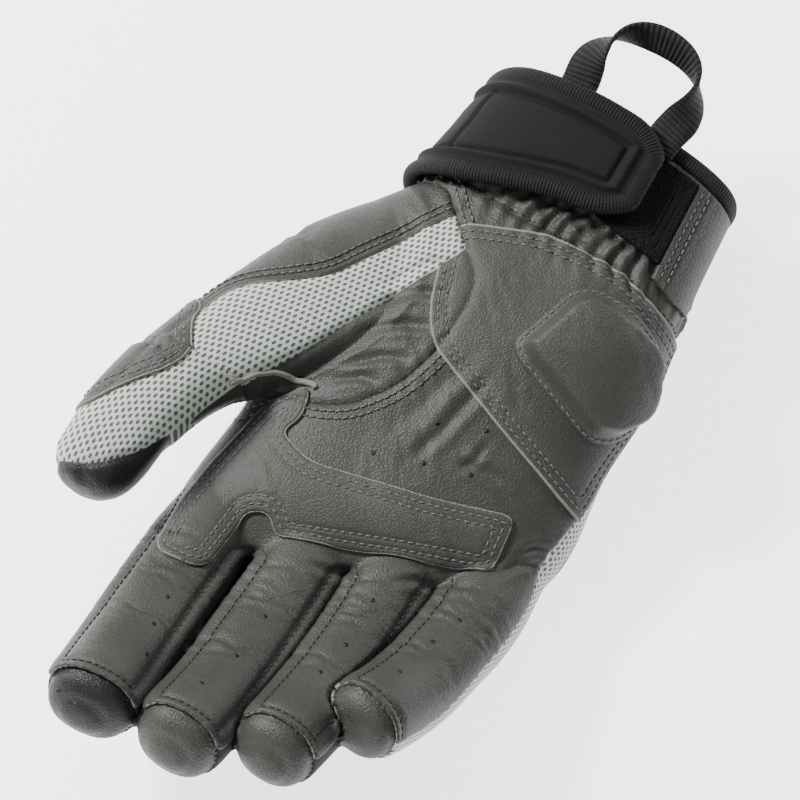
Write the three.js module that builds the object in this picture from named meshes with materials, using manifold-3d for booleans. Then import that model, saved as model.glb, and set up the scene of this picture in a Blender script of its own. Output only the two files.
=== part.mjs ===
// A right-hand motorcycle glove that lies on its back with the palm up and the fingers curled.
// Millimetres, +Z up. The fingers point along +Y, the thumb lies on the +X side, and the cuff opens at -Y.
// The origin is at the middle of the glove's box, on the surface that it lies on.
import * as THREE from "three";
import { mergeVertices } from "three/addons/utils/BufferGeometryUtils.js";
import Module from "manifold-3d";

const wasm = await Module();
wasm.setup();

// Driving sizes of the hand
const HAND_LENGTH = 154; // cuff rim to the line of the finger roots
const PALM_WIDTH = 104;
const PALM_DEPTH = 42; // back of the hand to the palm, as it lies
const LEATHER = 2; // wall of the glove, with its lining
const SEAM_GAP = 0.3; // between pieces that are sewn together

// Patches and the padded slider on the heel of the hand
const PATCH_LEATHER = 1.3;
const SLIDER_HEIGHT = 5;
const KNUCKLE_LEATHER = 1.3;
const CUFF_FACING_LEATHER = 1.2;

// Wrist strap, its binding, the hook pad, the cuff's binding and the pull loop
const NEOPRENE = 3;
const STRAP_BINDING_WIDTH = 6;
const STRAP_BINDING_THICKNESS = 4.4;
const HOOK_PAD_THICKNESS = 1.8;
const CUFF_BINDING_WIDTH = 5;
const CUFF_BINDING_RISE = 0.6; // how far the binding stands out from the leather, on both sides
const WEBBING_WIDTH = 11;
const WEBBING_THICKNESS = 1.4;
const LOOP_SPAN = 28; // between the middles of the loop's legs
const LOOP_REACH = 22; // how far the loop stands out past the rim
const LOOP_RISE = 5.5;
const LOOP_TAIL = 6; // length of webbing that is sewn to the cuff at each leg

// Small features
const PERFORATION_RADIUS = 0.8;
const PERFORATION_SIDES = 6;

// Facets
const OUTSIDE = { hand: 24, digit: 12 };
const INSIDE = { hand: 16, digit: 8 };
const HAND_POWER = 2.7; // squarer than an ellipse, as a stuffed glove is
const DIGIT_POWER = 2.5;
const COURSE_STEPS = 60;
const FAR = 400; // past every edge of the glove
const FINGER_REACH = 60;
const CORNER_STEPS = 2;
const SIDE_MARGIN = 8;
const CROTCH_MARGIN = 1.2;
const SKIN_MARGIN = 0.05;

const LEATHER_GREY = { color: 0x4f534e, roughness: 0.55, metalness: 0 };
const LEATHER_SHADE = { color: 0x444844, roughness: 0.55, metalness: 0 };
const TEXTILE_GREY = { color: 0x555a5a, roughness: 0.9, metalness: 0 };
const MESH_GREY = { color: 0xb4bbb3, roughness: 0.85, metalness: 0 };
const BLACK_LEATHER = { color: 0x161517, roughness: 0.45, metalness: 0 };
const BLACK_CLOTH = { color: 0x19191a, roughness: 0.8, metalness: 0 };
const HOOK_BLACK = { color: 0x0c0b0a, roughness: 1, metalness: 0 };

// Sections of the hand, from the cuff rim to the finger roots. along is a share of HAND_LENGTH, across and width
// are shares of PALM_WIDTH, low and depth of PALM_DEPTH, and lean is how far a section runs ahead on the thumb side.
// thumbSeam and littleSeam are the heights of the side seams, as shares of the section's depth.
const HAND_SECTIONS = [
  { along: 0, across: -0.13, width: 0.72, low: 0.13, depth: 1.02, lean: 0.04, thumbSeam: 0.4, littleSeam: 0.4 },
  { along: 0.2, across: -0.156, width: 0.774, low: 0.13, depth: 0.99, lean: 0.02, thumbSeam: 0.4, littleSeam: 0.4 },
  { along: 0.3, across: -0.15, width: 0.86, low: 0.07, depth: 1.04, lean: 0.02, thumbSeam: 0.4, littleSeam: 0.4 },
  { along: 0.42, across: -0.168, width: 0.915, low: -0.02, depth: 1.13, lean: 0.07, thumbSeam: 0.4, littleSeam: 0.4 },
  { along: 0.6, across: -0.17, width: 0.925, low: -0.03, depth: 1.05, lean: 0.16, thumbSeam: 0.43, littleSeam: 0.46 },
  { along: 0.8, across: -0.193, width: 0.976, low: -0.03, depth: 0.93, lean: 0.3, thumbSeam: 0.46, littleSeam: 0.62 },
  { along: 0.92, across: -0.195, width: 0.985, low: 0.01, depth: 0.84, lean: 0.38, thumbSeam: 0.48, littleSeam: 0.66 },
  { along: 1, across: -0.2, width: 0.82, low: 0.18, depth: 0.5, lean: 0.42, thumbSeam: 0.5, littleSeam: 0.66 },
];

// Sections of a digit, as shares of its length, width and depth. Rows below 0 lie inside the hand.
const FINGER_SECTIONS = [
  { at: -0.25, width: 0.9, depth: 0.88 },
  { at: 0.02, width: 1, depth: 1.06 },
  { at: 0.2, width: 1.01, depth: 1.04 },
  { at: 0.36, width: 0.97, depth: 0.96 },
  { at: 0.54, width: 0.97, depth: 0.97 },
  { at: 0.76, width: 0.95, depth: 0.96 },
  { at: 0.9, width: 0.92, depth: 0.91 },
  { at: 0.97, width: 0.78, depth: 0.76 },
  { at: 1, width: 0.44, depth: 0.44 },
];
const THUMB_SECTIONS = [
  { at: 0, width: 1.18, depth: 1.1 },
  { at: 0.12, width: 1.5, depth: 1.36 },
  { at: 0.26, width: 1.6, depth: 1.4 },
  { at: 0.4, width: 1.38, depth: 1.3 },
  { at: 0.52, width: 1.14, depth: 1.16 },
  { at: 0.63, width: 0.94, depth: 1.02 },
  { at: 0.8, width: 0.86, depth: 0.95 },
  { at: 0.91, width: 0.82, depth: 0.84 },
  { at: 0.97, width: 0.62, depth: 0.62 },
  { at: 1, width: 0.34, depth: 0.34 },
];

// Length, width and depth of each finger
const INDEX_FINGER = { length: 74, width: 28, depth: 26 };
const MIDDLE_FINGER = { length: 82, width: 26.5, depth: 26 };
const RING_FINGER = { length: 81, width: 25.5, depth: 25 };
const LITTLE_FINGER = { length: 69, width: 24.5, depth: 24 };

// Digits. across is a share of PALM_WIDTH, along of HAND_LENGTH and rise of PALM_DEPTH, for the point where the
// digit starts. heading turns towards the thumb side and pitch lifts off the table, in degrees along the course.
// thumbSeam and littleSeam are the heights of the front panel's edges over the middle line, as shares of half depth.
const FINGERS = [
  {
    name: "index", across: 0.152, along: 1.1, rise: 0.46, ...INDEX_FINGER,
    thumbSeam: -0.1, littleSeam: 0.15, tipAt: 0.86,
    course: [
      { at: -0.3, heading: 2, pitch: 0 },
      { at: 0, heading: -4, pitch: 8 },
      { at: 0.45, heading: -7, pitch: 24 },
      { at: 1, heading: -10, pitch: 38 },
    ],
  },
  {
    name: "middle", across: -0.118, along: 1.04, rise: 0.46, ...MIDDLE_FINGER,
    thumbSeam: 0.15, littleSeam: 0.15, tipAt: 0.88,
    course: [
      { at: -0.3, heading: -2, pitch: 0 },
      { at: 0, heading: -6, pitch: 8 },
      { at: 0.45, heading: -6, pitch: 22 },
      { at: 1, heading: -3, pitch: 40 },
    ],
  },
  {
    name: "ring", across: -0.345, along: 0.965, rise: 0.46, ...RING_FINGER,
    thumbSeam: 0.15, littleSeam: 0.15, tipAt: 0.88,
    course: [
      { at: -0.3, heading: -6, pitch: 0 },
      { at: 0, heading: -8, pitch: 8 },
      { at: 0.45, heading: -6, pitch: 22 },
      { at: 1, heading: -2, pitch: 42 },
    ],
  },
  {
    name: "little", across: -0.575, along: 0.885, rise: 0.46, ...LITTLE_FINGER,
    thumbSeam: 0.15, littleSeam: 0.35, tipAt: 0.88,
    course: [
      { at: -0.3, heading: -8, pitch: 0 },
      { at: 0, heading: -6, pitch: 10 },
      { at: 0.45, heading: 2, pitch: 24 },
      { at: 1, heading: 13, pitch: 42 },
    ],
  },
];
const TIP_SLANT = 14; // degrees that a tip's seam leans, further out on the palm side
const THUMB = {
  name: "thumb", across: 0.1, along: 0.33, rise: 0.58, length: 140, width: 31, depth: 28, tipAt: 0.93,
  course: [
    { at: 0, heading: 14, pitch: 4 },
    { at: 0.2, heading: 26, pitch: 10 },
    { at: 0.45, heading: 28, pitch: 12 },
    { at: 0.7, heading: 14, pitch: 4 },
    { at: 1, heading: -6, pitch: -8 },
  ],
};

// Outlines seen from above: across in PALM_WIDTH, along in HAND_LENGTH, round in millimetres. On the thumb, side and
// out are shares of its length, measured from its start. Corners that lie outside the glove carry an outline past
// its edge.

// The mesh on top of the thumb: its seam with the outer leather, then back along its seam with the inner leather
const THUMB_MESH = [
  { side: -0.007, out: 0, round: 2 },
  { side: 0.078, out: 0.163, round: 10 },
  { side: 0.123, out: 0.268, round: 10 },
  { side: 0.182, out: 0.327, round: 10 },
  { side: 0.279, out: 0.401, round: 12 },
  { side: 0.308, out: 0.539, round: 12 },
  { side: 0.342, out: 0.759, round: 6 },
  { side: 0.483, out: 0.847, round: 1 },
  { side: 0.483, out: 1.067, round: 1 },
  { side: 0.193, out: 1.067, round: 1 },
  { side: 0.178, out: 0.693, round: 12 },
  { side: 0.137, out: 0.566, round: 12 },
  { side: 0.067, out: 0.418, round: 12 },
  { side: 0.009, out: 0.261, round: 12 },
  { side: -0.074, out: 0.066, round: 2 },
];
// The thumb's outer side, as far as the middle of the mesh
const THUMB_OUTER = [
  { side: -0.037, out: -0.143, round: 1 },
  { side: -0.037, out: 0.033, round: 1 },
  { side: 0.045, out: 0.22, round: 1 },
  { side: 0.111, out: 0.385, round: 1 },
  { side: 0.208, out: 0.539, round: 1 },
  { side: 0.26, out: 0.737, round: 1 },
  { side: 0.312, out: 1.067, round: 1 },
  { side: 0.594, out: 1.067, round: 1 },
  { side: 0.594, out: -0.253, round: 1 },
];
const THUMB_CAP = [
  { side: 0.074, out: 0.704, round: 1 },
  { side: 0.186, out: 0.737, round: 1 },
  { side: 0.212, out: 0.823, round: 8 },
  { side: 0.267, out: 0.891, round: 8 },
  { side: 0.324, out: 0.914, round: 6 },
  { side: 0.483, out: 0.924, round: 1 },
  { side: 0.483, out: 1.177, round: 1 },
  { side: 0.074, out: 1.177, round: 1 },
];
const KNUCKLE_PATCH = [
  { side: 0.301, out: 0.464, round: 3 },
  { side: 0.29, out: 0.517, round: 8 },
  { side: 0.241, out: 0.592, round: 9 },
  { side: 0.26, out: 0.647, round: 8 },
  { side: 0.301, out: 0.702, round: 8 },
  { side: 0.36, out: 0.797, round: 2 },
  { side: 0.52, out: 0.803, round: 1 },
  { side: 0.52, out: 0.451, round: 1 },
];
// The thumb's leather reaches into the palm up to this seam.
const THENAR_OUTLINE = [
  { across: 0.16, along: 0.3, round: 4 },
  { across: 0.1, along: 0.34, round: 5 },
  { across: -0.09, along: 0.44, round: 8 },
  { across: -0.1, along: 0.57, round: 20 },
  { across: -0.06, along: 0.68, round: 14 },
  { across: 0.02, along: 0.755, round: 8 },
  { across: 0.1, along: 0.785, round: 6 },
  { across: 0.2, along: 0.8, round: 4 },
  { across: 0.7, along: 0.8, round: 1 },
  { across: 0.7, along: 0.3, round: 1 },
];
const PALM_PATCH = [
  { across: 0.14, along: 0.76, round: 3 },
  { across: 0.105, along: 0.82, round: 3 },
  { across: 0.13, along: 0.862, round: 5 },
  { across: 0.02, along: 0.886, round: 8 },
  { across: -0.342, along: 0.811, round: 8 },
  { across: -0.531, along: 0.751, round: 4 },
  { across: -0.562, along: 0.862, round: 7 },
  { across: -0.52, along: 0.875, round: 3 },
  { across: -0.084, along: 1.012, round: 5 },
  { across: -0.02, along: 1.028, round: 5 },
  { across: 0.03, along: 1.0, round: 5 },
  { across: 0.084, along: 1.02, round: 6 },
  { across: 0.074, along: 1.17, round: 6 },
  { across: 0.222, along: 1.19, round: 6 },
  { across: 0.262, along: 1.03, round: 10 },
  { across: 0.219, along: 0.819, round: 8 },
];
const HEEL_PATCH = [
  { across: 0.086, along: 0.362, round: 6 },
  { across: -0.149, along: 0.288, round: 4 },
  { across: -0.379, along: 0.262, round: 6 },
  { across: -0.7, along: 0.3, round: 2 },
  { across: -0.76, along: 0.68, round: 2 },
  { across: -0.6, along: 0.676, round: 4 },
  { across: -0.366, along: 0.642, round: 20 },
  { across: -0.075, along: 0.58, round: 8 },
  { across: -0.005, along: 0.52, round: 10 },
];
// How far down the sides of the glove an outline reaches, as a share of PALM_DEPTH
const PATCH_LOW = 0.4;
const KNUCKLE_LOW = 0.5;
const MESH_LOW = 0.76;
const BELOW_ALL = -1;
const ABOVE_ALL = 3;

// The slider on the heel: corners round the hand in degrees, along in HAND_LENGTH.
const SLIDER_CORNERS = [
  { angle: 112, along: 0.325 },
  { angle: 104, along: 0.36 },
  { angle: 97, along: 0.5 },
  { angle: 102, along: 0.53 },
  { angle: 143, along: 0.605 },
  { angle: 160, along: 0.57 },
  { angle: 175, along: 0.47 },
  { angle: 160, along: 0.35 },
  { angle: 135, along: 0.32 },
];
const SLIDER_LEVELS = [
  { inset: 0, height: 0.12 },
  { inset: 0.14, height: 0.62 },
  { inset: 0.34, height: 0.9 },
  { inset: 0.66, height: 1 },
];
const SLIDER_SIDES = 20;

// Edges of the strap, from its end on the back, round the thumb side, to its rounded end over the hook pad: from and
// to in HAND_LENGTH, lift in millimetres above the leather, where the strap clears the cuff's binding and the loop.
const STRAP_EDGES = [
  { angle: -70, from: 0.05, to: 0.28, lift: 1.6 },
  { angle: -30, from: 0.036, to: 0.295, lift: 1.6 },
  { angle: 20, from: 0.03, to: 0.3, lift: 1.6 },
  { angle: 50, from: 0.02, to: 0.29, lift: 3.6 },
  { angle: 70, from: 0.014, to: 0.268, lift: 4.2 },
  { angle: 90, from: 0.006, to: 0.225, lift: 4.2 },
  { angle: 109, from: 0.016, to: 0.196, lift: 3.7 },
];
const STRAP_END_RADIUS = 12;
const STRAP_END_STEPS = 5;
const STRAP_COLUMNS = 3;
const TURN_STEP = 360 / OUTSIDE.hand; // degrees between stations round the hand
const BINDING_SIDES = 6;

// Hook pad and cuff facing: places round the hand in degrees, from and to in HAND_LENGTH
const HOOK_PAD = [
  { angle: 88, from: 0.045, to: 0.2 },
  { angle: 110, from: 0.045, to: 0.212 },
  { angle: 131, from: 0.046, to: 0.214 },
];
const CUFF_FACING = [
  { angle: 132, from: 0.042, to: 0.242 },
  { angle: 150, from: 0.042, to: 0.25 },
  { angle: 175, from: 0.042, to: 0.24 },
];

// The pull loop's course: side in half LOOP_SPAN, out in LOOP_REACH, rise in LOOP_RISE, twist in degrees.
const LOOP_MIDDLE = -0.12; // across, in PALM_WIDTH
const LOOP_LIFT = 1.1; // above the leather, over the cuff's binding
const LOOP_COURSE = [
  { side: 1, out: 0, rise: 0, twist: 0 },
  { side: 1.06, out: 0.2, rise: 0.2, twist: 4 },
  { side: 1.08, out: 0.42, rise: 0.45, twist: 24 },
  { side: 0.86, out: 0.74, rise: 0.75, twist: 72 },
  { side: 0.5, out: 0.93, rise: 0.93, twist: 108 },
  { side: 0.05, out: 1, rise: 1, twist: 120 },
  { side: -0.5, out: 0.97, rise: 0.9, twist: 110 },
  { side: -0.88, out: 0.78, rise: 0.7, twist: 94 },
  { side: -1.06, out: 0.48, rise: 0.45, twist: 60 },
  { side: -1.05, out: 0.2, rise: 0.2, twist: 16 },
  { side: -1, out: 0, rise: 0, twist: 0 },
];
const LOOP_STEPS = 26;

// Folds pressed into the leather. Hand folds run between places round (degrees) and along the hand.
const HAND_FOLDS = [
  { fromAngle: 93, from: 0.56, toAngle: 99, to: 0.7, bow: 0.01, width: 6, depth: 1 },
  { fromAngle: 70, from: 0.6, toAngle: 82, to: 0.72, bow: 0.02, width: 6, depth: 0.9 },
  { fromAngle: 104, from: 0.68, toAngle: 116, to: 0.77, bow: 0.01, width: 5, depth: 0.8 },
  { fromAngle: 62, from: 0.3, toAngle: 64, to: 0.35, bow: 0, width: 4, depth: 0.9 },
  { fromAngle: 71, from: 0.275, toAngle: 73, to: 0.33, bow: 0, width: 4, depth: 0.9 },
  { fromAngle: 80, from: 0.258, toAngle: 82, to: 0.305, bow: 0, width: 4, depth: 0.9 },
  { fromAngle: 89, from: 0.24, toAngle: 91, to: 0.283, bow: 0, width: 4, depth: 0.9 },
  { fromAngle: 99, from: 0.226, toAngle: 101, to: 0.27, bow: 0, width: 4, depth: 0.9 },
  { fromAngle: 110, from: 0.222, toAngle: 112, to: 0.258, bow: 0, width: 4, depth: 0.8 },
];
// Folds across the inside of each finger, at shares of its length.
const FINGER_FOLDS = [
  { at: 0.22, reach: 40, bow: 0.02, width: 4, depth: 0.9 },
  { at: 0.54, reach: 36, bow: 0.02, width: 4, depth: 0.9 },
];
// Folds on the thumb's ball, between places round (degrees) and along the thumb.
const THUMB_FOLDS = [
  { fromAngle: 150, from: 0.2, toAngle: 165, to: 0.46, bow: 0.02, width: 6, depth: 1 },
  { fromAngle: 168, from: 0.24, toAngle: 182, to: 0.42, bow: 0.02, width: 5, depth: 0.9 },
];
const FOLD_STEPS = 3;

// Air holes through the leather: across in PALM_WIDTH and along in HAND_LENGTH.
const PERFORATIONS = [
  { across: -0.112, along: 0.79 },
  { across: -0.202, along: 0.765 },
  { across: -0.309, along: 0.745 },
  { across: -0.198, along: 0.724 },
  { across: -0.295, along: 0.698 },
  { across: 0.098, along: 1.25 },
  { across: 0.07, along: 1.313 },
  { across: 0.027, along: 1.376 },
  { across: -0.153, along: 1.178 },
  { across: -0.159, along: 1.281 },
  { across: -0.142, along: 1.374 },
  { across: -0.35, along: 1.03 },
  { across: -0.374, along: 1.139 },
  { across: -0.372, along: 1.218 },
  { across: -0.573, along: 0.975 },
  { across: -0.558, along: 1.045 },
  { across: -0.554, along: 1.141 },
];

// Basic tools

function lerpRows(rows, key, at, column) {
  const last = rows.length - 1;
  if (at <= rows[0][key]) {
    return rows[0][column];
  }
  if (at >= rows[last][key]) {
    return rows[last][column];
  }
  const next = rows.findIndex((row) => row[key] > at);
  const before = rows[next - 1];
  const after = rows[next];
  const share = (at - before[key]) / (after[key] - before[key]);
  return THREE.MathUtils.lerp(before[column], after[column], share);
}

function centreOf(points) {
  const sum = new THREE.Vector3();
  for (const point of points) {
    sum.add(point);
  }
  return sum.divideScalar(points.length);
}

function solidFrom(points, triangles) {
  const mesh = new wasm.Mesh({
    numProp: 3,
    vertProperties: new Float32Array(points.flatMap((point) => point.toArray())),
    triVerts: new Uint32Array(triangles),
  });
  return new wasm.Manifold(mesh);
}

// A closed skin through rings of points with equal counts. Seen looking along the way, rings turn anticlockwise.
function loft(rings) {
  const count = rings[0].length;
  const points = rings.flat();
  const triangles = [];
  for (let ring = 0; ring + 1 < rings.length; ring++) {
    for (let i = 0; i < count; i++) {
      const a = ring * count + i;
      const b = ring * count + ((i + 1) % count);
      triangles.push(a, b + count, b, a, a + count, b + count);
    }
  }
  const start = points.push(centreOf(rings[0])) - 1;
  const end = points.push(centreOf(rings[rings.length - 1])) - 1;
  const top = (rings.length - 1) * count;
  for (let i = 0; i < count; i++) {
    const j = (i + 1) % count;
    triangles.push(start, i, j, end, top + j, top + i);
  }
  return solidFrom(points, triangles);
}

// A closed slab between two grids of points. The outer grid's rows run one way round, its columns along.
function slab(outer, inner) {
  const columns = outer[0].length;
  const points = [...outer.flat(), ...inner.flat()];
  const below = outer.length * columns;
  const triangles = [];
  for (let row = 0; row + 1 < outer.length; row++) {
    for (let column = 0; column + 1 < columns; column++) {
      const a = row * columns + column;
      const b = a + columns;
      triangles.push(a, a + 1, b + 1, a, b + 1, b);
      triangles.push(below + a, below + b + 1, below + a + 1, below + a, below + b, below + b + 1);
    }
  }
  const edge = [];
  const lastRow = below - columns;
  for (let column = 0; column < columns; column++) edge.push(column);
  for (let row = 2; row <= outer.length; row++) edge.push(row * columns - 1);
  for (let column = columns - 2; column >= 0; column--) edge.push(lastRow + column);
  for (let row = outer.length - 2; row > 0; row--) edge.push(row * columns);
  edge.forEach((a, i) => {
    const b = edge[(i + 1) % edge.length];
    triangles.push(b, a, below + a, b, below + a, below + b);
  });
  return solidFrom(points, triangles);
}

function solidOfGeometry(geometry) {
  const bare = geometry.index ? geometry.toNonIndexed() : geometry.clone();
  bare.deleteAttribute("normal");
  bare.deleteAttribute("uv");
  const merged = mergeVertices(bare, 1e-4);
  const mesh = new wasm.Mesh({
    numProp: 3,
    vertProperties: merged.attributes.position.array,
    triVerts: new Uint32Array(merged.index.array),
  });
  return new wasm.Manifold(mesh);
}

function geometryOfSolid(solid) {
  const mesh = solid.getMesh();
  const geometry = new THREE.BufferGeometry();
  geometry.setAttribute("position", new THREE.BufferAttribute(new Float32Array(mesh.vertProperties), mesh.numProp));
  geometry.setIndex(new THREE.BufferAttribute(new Uint32Array(mesh.triVerts), 1));
  geometry.computeVertexNormals();
  return geometry;
}

function largestBody(solid) {
  const bodies = solid.decompose();
  return bodies.reduce((best, body) => (body.volume() > best.volume() ? body : best));
}

const join = (solids) => solids.reduce((sum, solid) => sum.add(solid));

// A large block whose face lies at a point, with the block on the side that its normal points to
function halfSpace(point, normal, size) {
  const geometry = new THREE.BoxGeometry(size, size, size);
  geometry.translate(0, 0, size / 2);
  const turn = new THREE.Quaternion().setFromUnitVectors(new THREE.Vector3(0, 0, 1), normal);
  geometry.applyQuaternion(turn);
  geometry.translate(point.x, point.y, point.z);
  return solidOfGeometry(geometry);
}

const aboveFloor = (height) =>
  halfSpace(new THREE.Vector3(0, 0, height), new THREE.Vector3(0, 0, 1), 2 * FAR);

function ovalPoint(degrees, power) {
  const angle = THREE.MathUtils.degToRad(degrees);
  const bend = 2 / power;
  const c = Math.cos(angle);
  const s = Math.sin(angle);
  return [Math.sign(c) * Math.abs(c) ** bend, Math.sign(s) * Math.abs(s) ** bend];
}

const turnsOf = (sides) => Array.from({ length: sides }, (_, i) => (360 * i) / sides);

// The hand

// A place on the hand's skin, grown outwards. Degrees turn from the thumb side over the palm to the little finger.
function handPoint(along, degrees, grow) {
  const section = (column) => lerpRows(HAND_SECTIONS, "along", along, column);
  const [u, v] = ovalPoint(degrees, HAND_POWER);
  const side = u * ((section("width") * PALM_WIDTH) / 2 + grow);
  const tall = (section("depth") * PALM_DEPTH) / 2;
  const middle = section("low") * PALM_DEPTH + tall;
  const past = along >= 1 ? grow : 0;
  return new THREE.Vector3(
    section("across") * PALM_WIDTH + side,
    along * HAND_LENGTH + section("lean") * side + past,
    middle + v * (tall + grow),
  );
}

// The hand between two places along it, grown outwards, with every section of the table that lies between
function handSolid(grow, from, to, sides) {
  const between = HAND_SECTIONS.map((section) => section.along).filter((along) => along > from && along < to);
  const rings = [from, ...between, to].map((along) =>
    turnsOf(sides).map((degrees) => handPoint(along, degrees, grow)),
  );
  return loft(rings);
}

// Digits

// The middle line of a digit with its side and up directions, at a share of its length
function digitFrame(digit, at) {
  const spot = new THREE.Vector3(digit.across * PALM_WIDTH, digit.along * HAND_LENGTH, digit.rise * PALM_DEPTH);
  const steps = Math.max(1, Math.round(Math.abs(at) * COURSE_STEPS));
  const step = at / steps;
  for (let i = 0; i < steps; i++) {
    spot.addScaledVector(courseWay(digit, step * (i + 0.5)), step * digit.length);
  }
  const way = courseWay(digit, at);
  const side = new THREE.Vector3(way.y, -way.x, 0).normalize();
  const up = new THREE.Vector3().crossVectors(side, way);
  return { spot, way, side, up };
}

function courseWay(digit, at) {
  const heading = THREE.MathUtils.degToRad(lerpRows(digit.course, "at", at, "heading"));
  const pitch = THREE.MathUtils.degToRad(lerpRows(digit.course, "at", at, "pitch"));
  return new THREE.Vector3(
    Math.sin(heading) * Math.cos(pitch),
    Math.cos(heading) * Math.cos(pitch),
    Math.sin(pitch),
  );
}

const inFrame = (frame, u, v) =>
  frame.spot.clone().addScaledVector(frame.side, u).addScaledVector(frame.up, v);

const sectionsOf = (digit) => (digit === THUMB ? THUMB_SECTIONS : FINGER_SECTIONS);

// A place on a digit's skin, grown outwards. Degrees turn as they do round the hand.
function digitPoint(digit, at, degrees, grow) {
  const sections = sectionsOf(digit);
  const half = Math.max((lerpRows(sections, "at", at, "width") * digit.width) / 2 + grow, 0.5);
  const tall = Math.max((lerpRows(sections, "at", at, "depth") * digit.depth) / 2 + grow, 0.5);
  const [u, v] = ovalPoint(degrees, DIGIT_POWER);
  const point = inFrame(digitFrame(digit, at), u * half, v * tall);
  if (at >= 1) {
    point.addScaledVector(courseWay(digit, 1), grow);
  }
  return point;
}

function digitSolid(digit, grow, sides) {
  const rings = sectionsOf(digit).map((section) =>
    turnsOf(sides).map((degrees) => digitPoint(digit, section.at, degrees, grow)),
  );
  return loft(rings);
}

// Folds

function normalAt(surface, along, degrees) {
  const here = surface(along, degrees, 0);
  const on = surface(along + 0.002, degrees, 0).sub(here);
  const round = surface(along, degrees + 0.5, 0).sub(here);
  return on.cross(round).normalize();
}

// A groove that tapers to nothing at both ends. Its sides slope in to its depth.
function groove(surface, places, width, depth) {
  const skins = places.map((place) => surface(place.along, place.angle, 0));
  const rings = places.map((place, i) => {
    const share = i / (places.length - 1);
    const full = Math.max(Math.sin(Math.PI * share), 0.12);
    const normal = normalAt(surface, place.along, place.angle);
    const way = skins[Math.min(i + 1, places.length - 1)].clone().sub(skins[Math.max(i - 1, 0)]).normalize();
    const side = new THREE.Vector3().crossVectors(way, normal);
    const skin = skins[i];
    const lip = skin.clone().addScaledVector(normal, width / 4);
    return [
      lip.clone().addScaledVector(side, (-width / 2) * full),
      skin.clone().addScaledVector(normal, -depth * full),
      lip.clone().addScaledVector(side, (width / 2) * full),
    ];
  });
  return loft(rings);
}

function placesOf(fold) {
  const places = [];
  for (let i = 0; i <= FOLD_STEPS; i++) {
    const share = i / FOLD_STEPS;
    places.push({
      angle: THREE.MathUtils.lerp(fold.fromAngle, fold.toAngle, share),
      along: THREE.MathUtils.lerp(fold.from, fold.to, share) + fold.bow * Math.sin(Math.PI * share),
    });
  }
  return places;
}

function foldSolids() {
  const cut = (surface, fold) => groove(surface, placesOf(fold), fold.width, fold.depth);
  const onThumb = (along, degrees, height) => digitPoint(THUMB, along, degrees, height);
  return [...HAND_FOLDS.map((fold) => cut(handPoint, fold)), ...THUMB_FOLDS.map((fold) => cut(onThumb, fold))];
}

function fingerFoldSolids() {
  return FINGERS.flatMap((finger) => {
    const onFinger = (along, degrees, height) => digitPoint(finger, along, degrees, height);
    return FINGER_FOLDS.map((fold) => {
      const ends = { fromAngle: 90 - fold.reach, toAngle: 90 + fold.reach, from: fold.at, to: fold.at, bow: fold.bow };
      return groove(onFinger, placesOf(ends), fold.width, fold.depth);
    });
  });
}

// The glove's skin

// The whole glove, grown outwards by a distance and flat where it lies
function gloveSolid(grow, from, floor, sides) {
  const digits = [...FINGERS, THUMB].map((digit) => digitSolid(digit, grow, sides.digit));
  const whole = join([handSolid(grow, from, 1, sides.hand), ...digits]);
  return whole.intersect(aboveFloor(floor));
}

const outer = gloveSolid(0, 0, 0, OUTSIDE).subtract(join([...foldSolids(), ...fingerFoldSolids()]));
const inner = gloveSolid(-LEATHER, -0.1, LEATHER, INSIDE);
const binding = (CUFF_BINDING_WIDTH + SEAM_GAP) / HAND_LENGTH;
const shell = outer.subtract(inner).subtract(handSolid(PALM_DEPTH, -0.1, binding, INSIDE.hand));

// The tips and the thumb come off the shell, and what is left splits into palm and back.

function tipCutter(digit, slant, inset) {
  const frame = digitFrame(digit, digit.tipAt);
  const lean = THREE.MathUtils.degToRad(slant);
  const normal = frame.way.clone().multiplyScalar(Math.cos(lean)).addScaledVector(frame.up, -Math.sin(lean));
  return halfSpace(frame.spot.addScaledVector(normal, inset), normal, FINGER_REACH);
}

// Everything over the side seams of the hand and the fingers, drawn in by a distance
function palmZone(inset) {
  const tall = 3 * PALM_DEPTH;
  const rings = [{ ...HAND_SECTIONS[0], along: -0.1 }, ...HAND_SECTIONS].map((section) => {
    const reach = (section.width * PALM_WIDTH) / 2 + SIDE_MARGIN;
    const middle = section.across * PALM_WIDTH;
    const height = (share) => (section.low + section.depth * share) * PALM_DEPTH + inset;
    const corner = (side, z) =>
      new THREE.Vector3(middle + side, section.along * HAND_LENGTH + section.lean * side - inset, z);
    return [
      corner(-reach, height(section.littleSeam)),
      corner(reach, height(section.thumbSeam)),
      corner(reach, tall),
      corner(-reach, tall),
    ];
  });
  const fingers = FINGERS.map((finger) => {
    const stations = [-0.05 + inset / finger.length, 0.1, 0.25, 0.4, 0.55, 0.7, 0.85, 1.2];
    const reach = finger.width / 2 + CROTCH_MARGIN - inset;
    return loft(
      stations.map((at) => {
        const frame = digitFrame(finger, at);
        const height = (share) => (share * finger.depth) / 2 + inset;
        return [
          inFrame(frame, -reach, height(finger.littleSeam)),
          inFrame(frame, reach, height(finger.thumbSeam)),
          inFrame(frame, reach, finger.depth),
          inFrame(frame, -reach, finger.depth),
        ];
      }),
    );
  });
  return join([loft(rings), ...fingers]);
}

const half = SEAM_GAP / 2;
const thumbZone = (grow) =>
  digitSolid(THUMB, grow, OUTSIDE.digit).add(tallBlock(planOfHand, THENAR_OUTLINE, PATCH_LOW, grow));
const thumbShell = shell.intersect(thumbZone(SKIN_MARGIN));
const handShell = shell.subtract(thumbZone(SKIN_MARGIN + SEAM_GAP));

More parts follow.
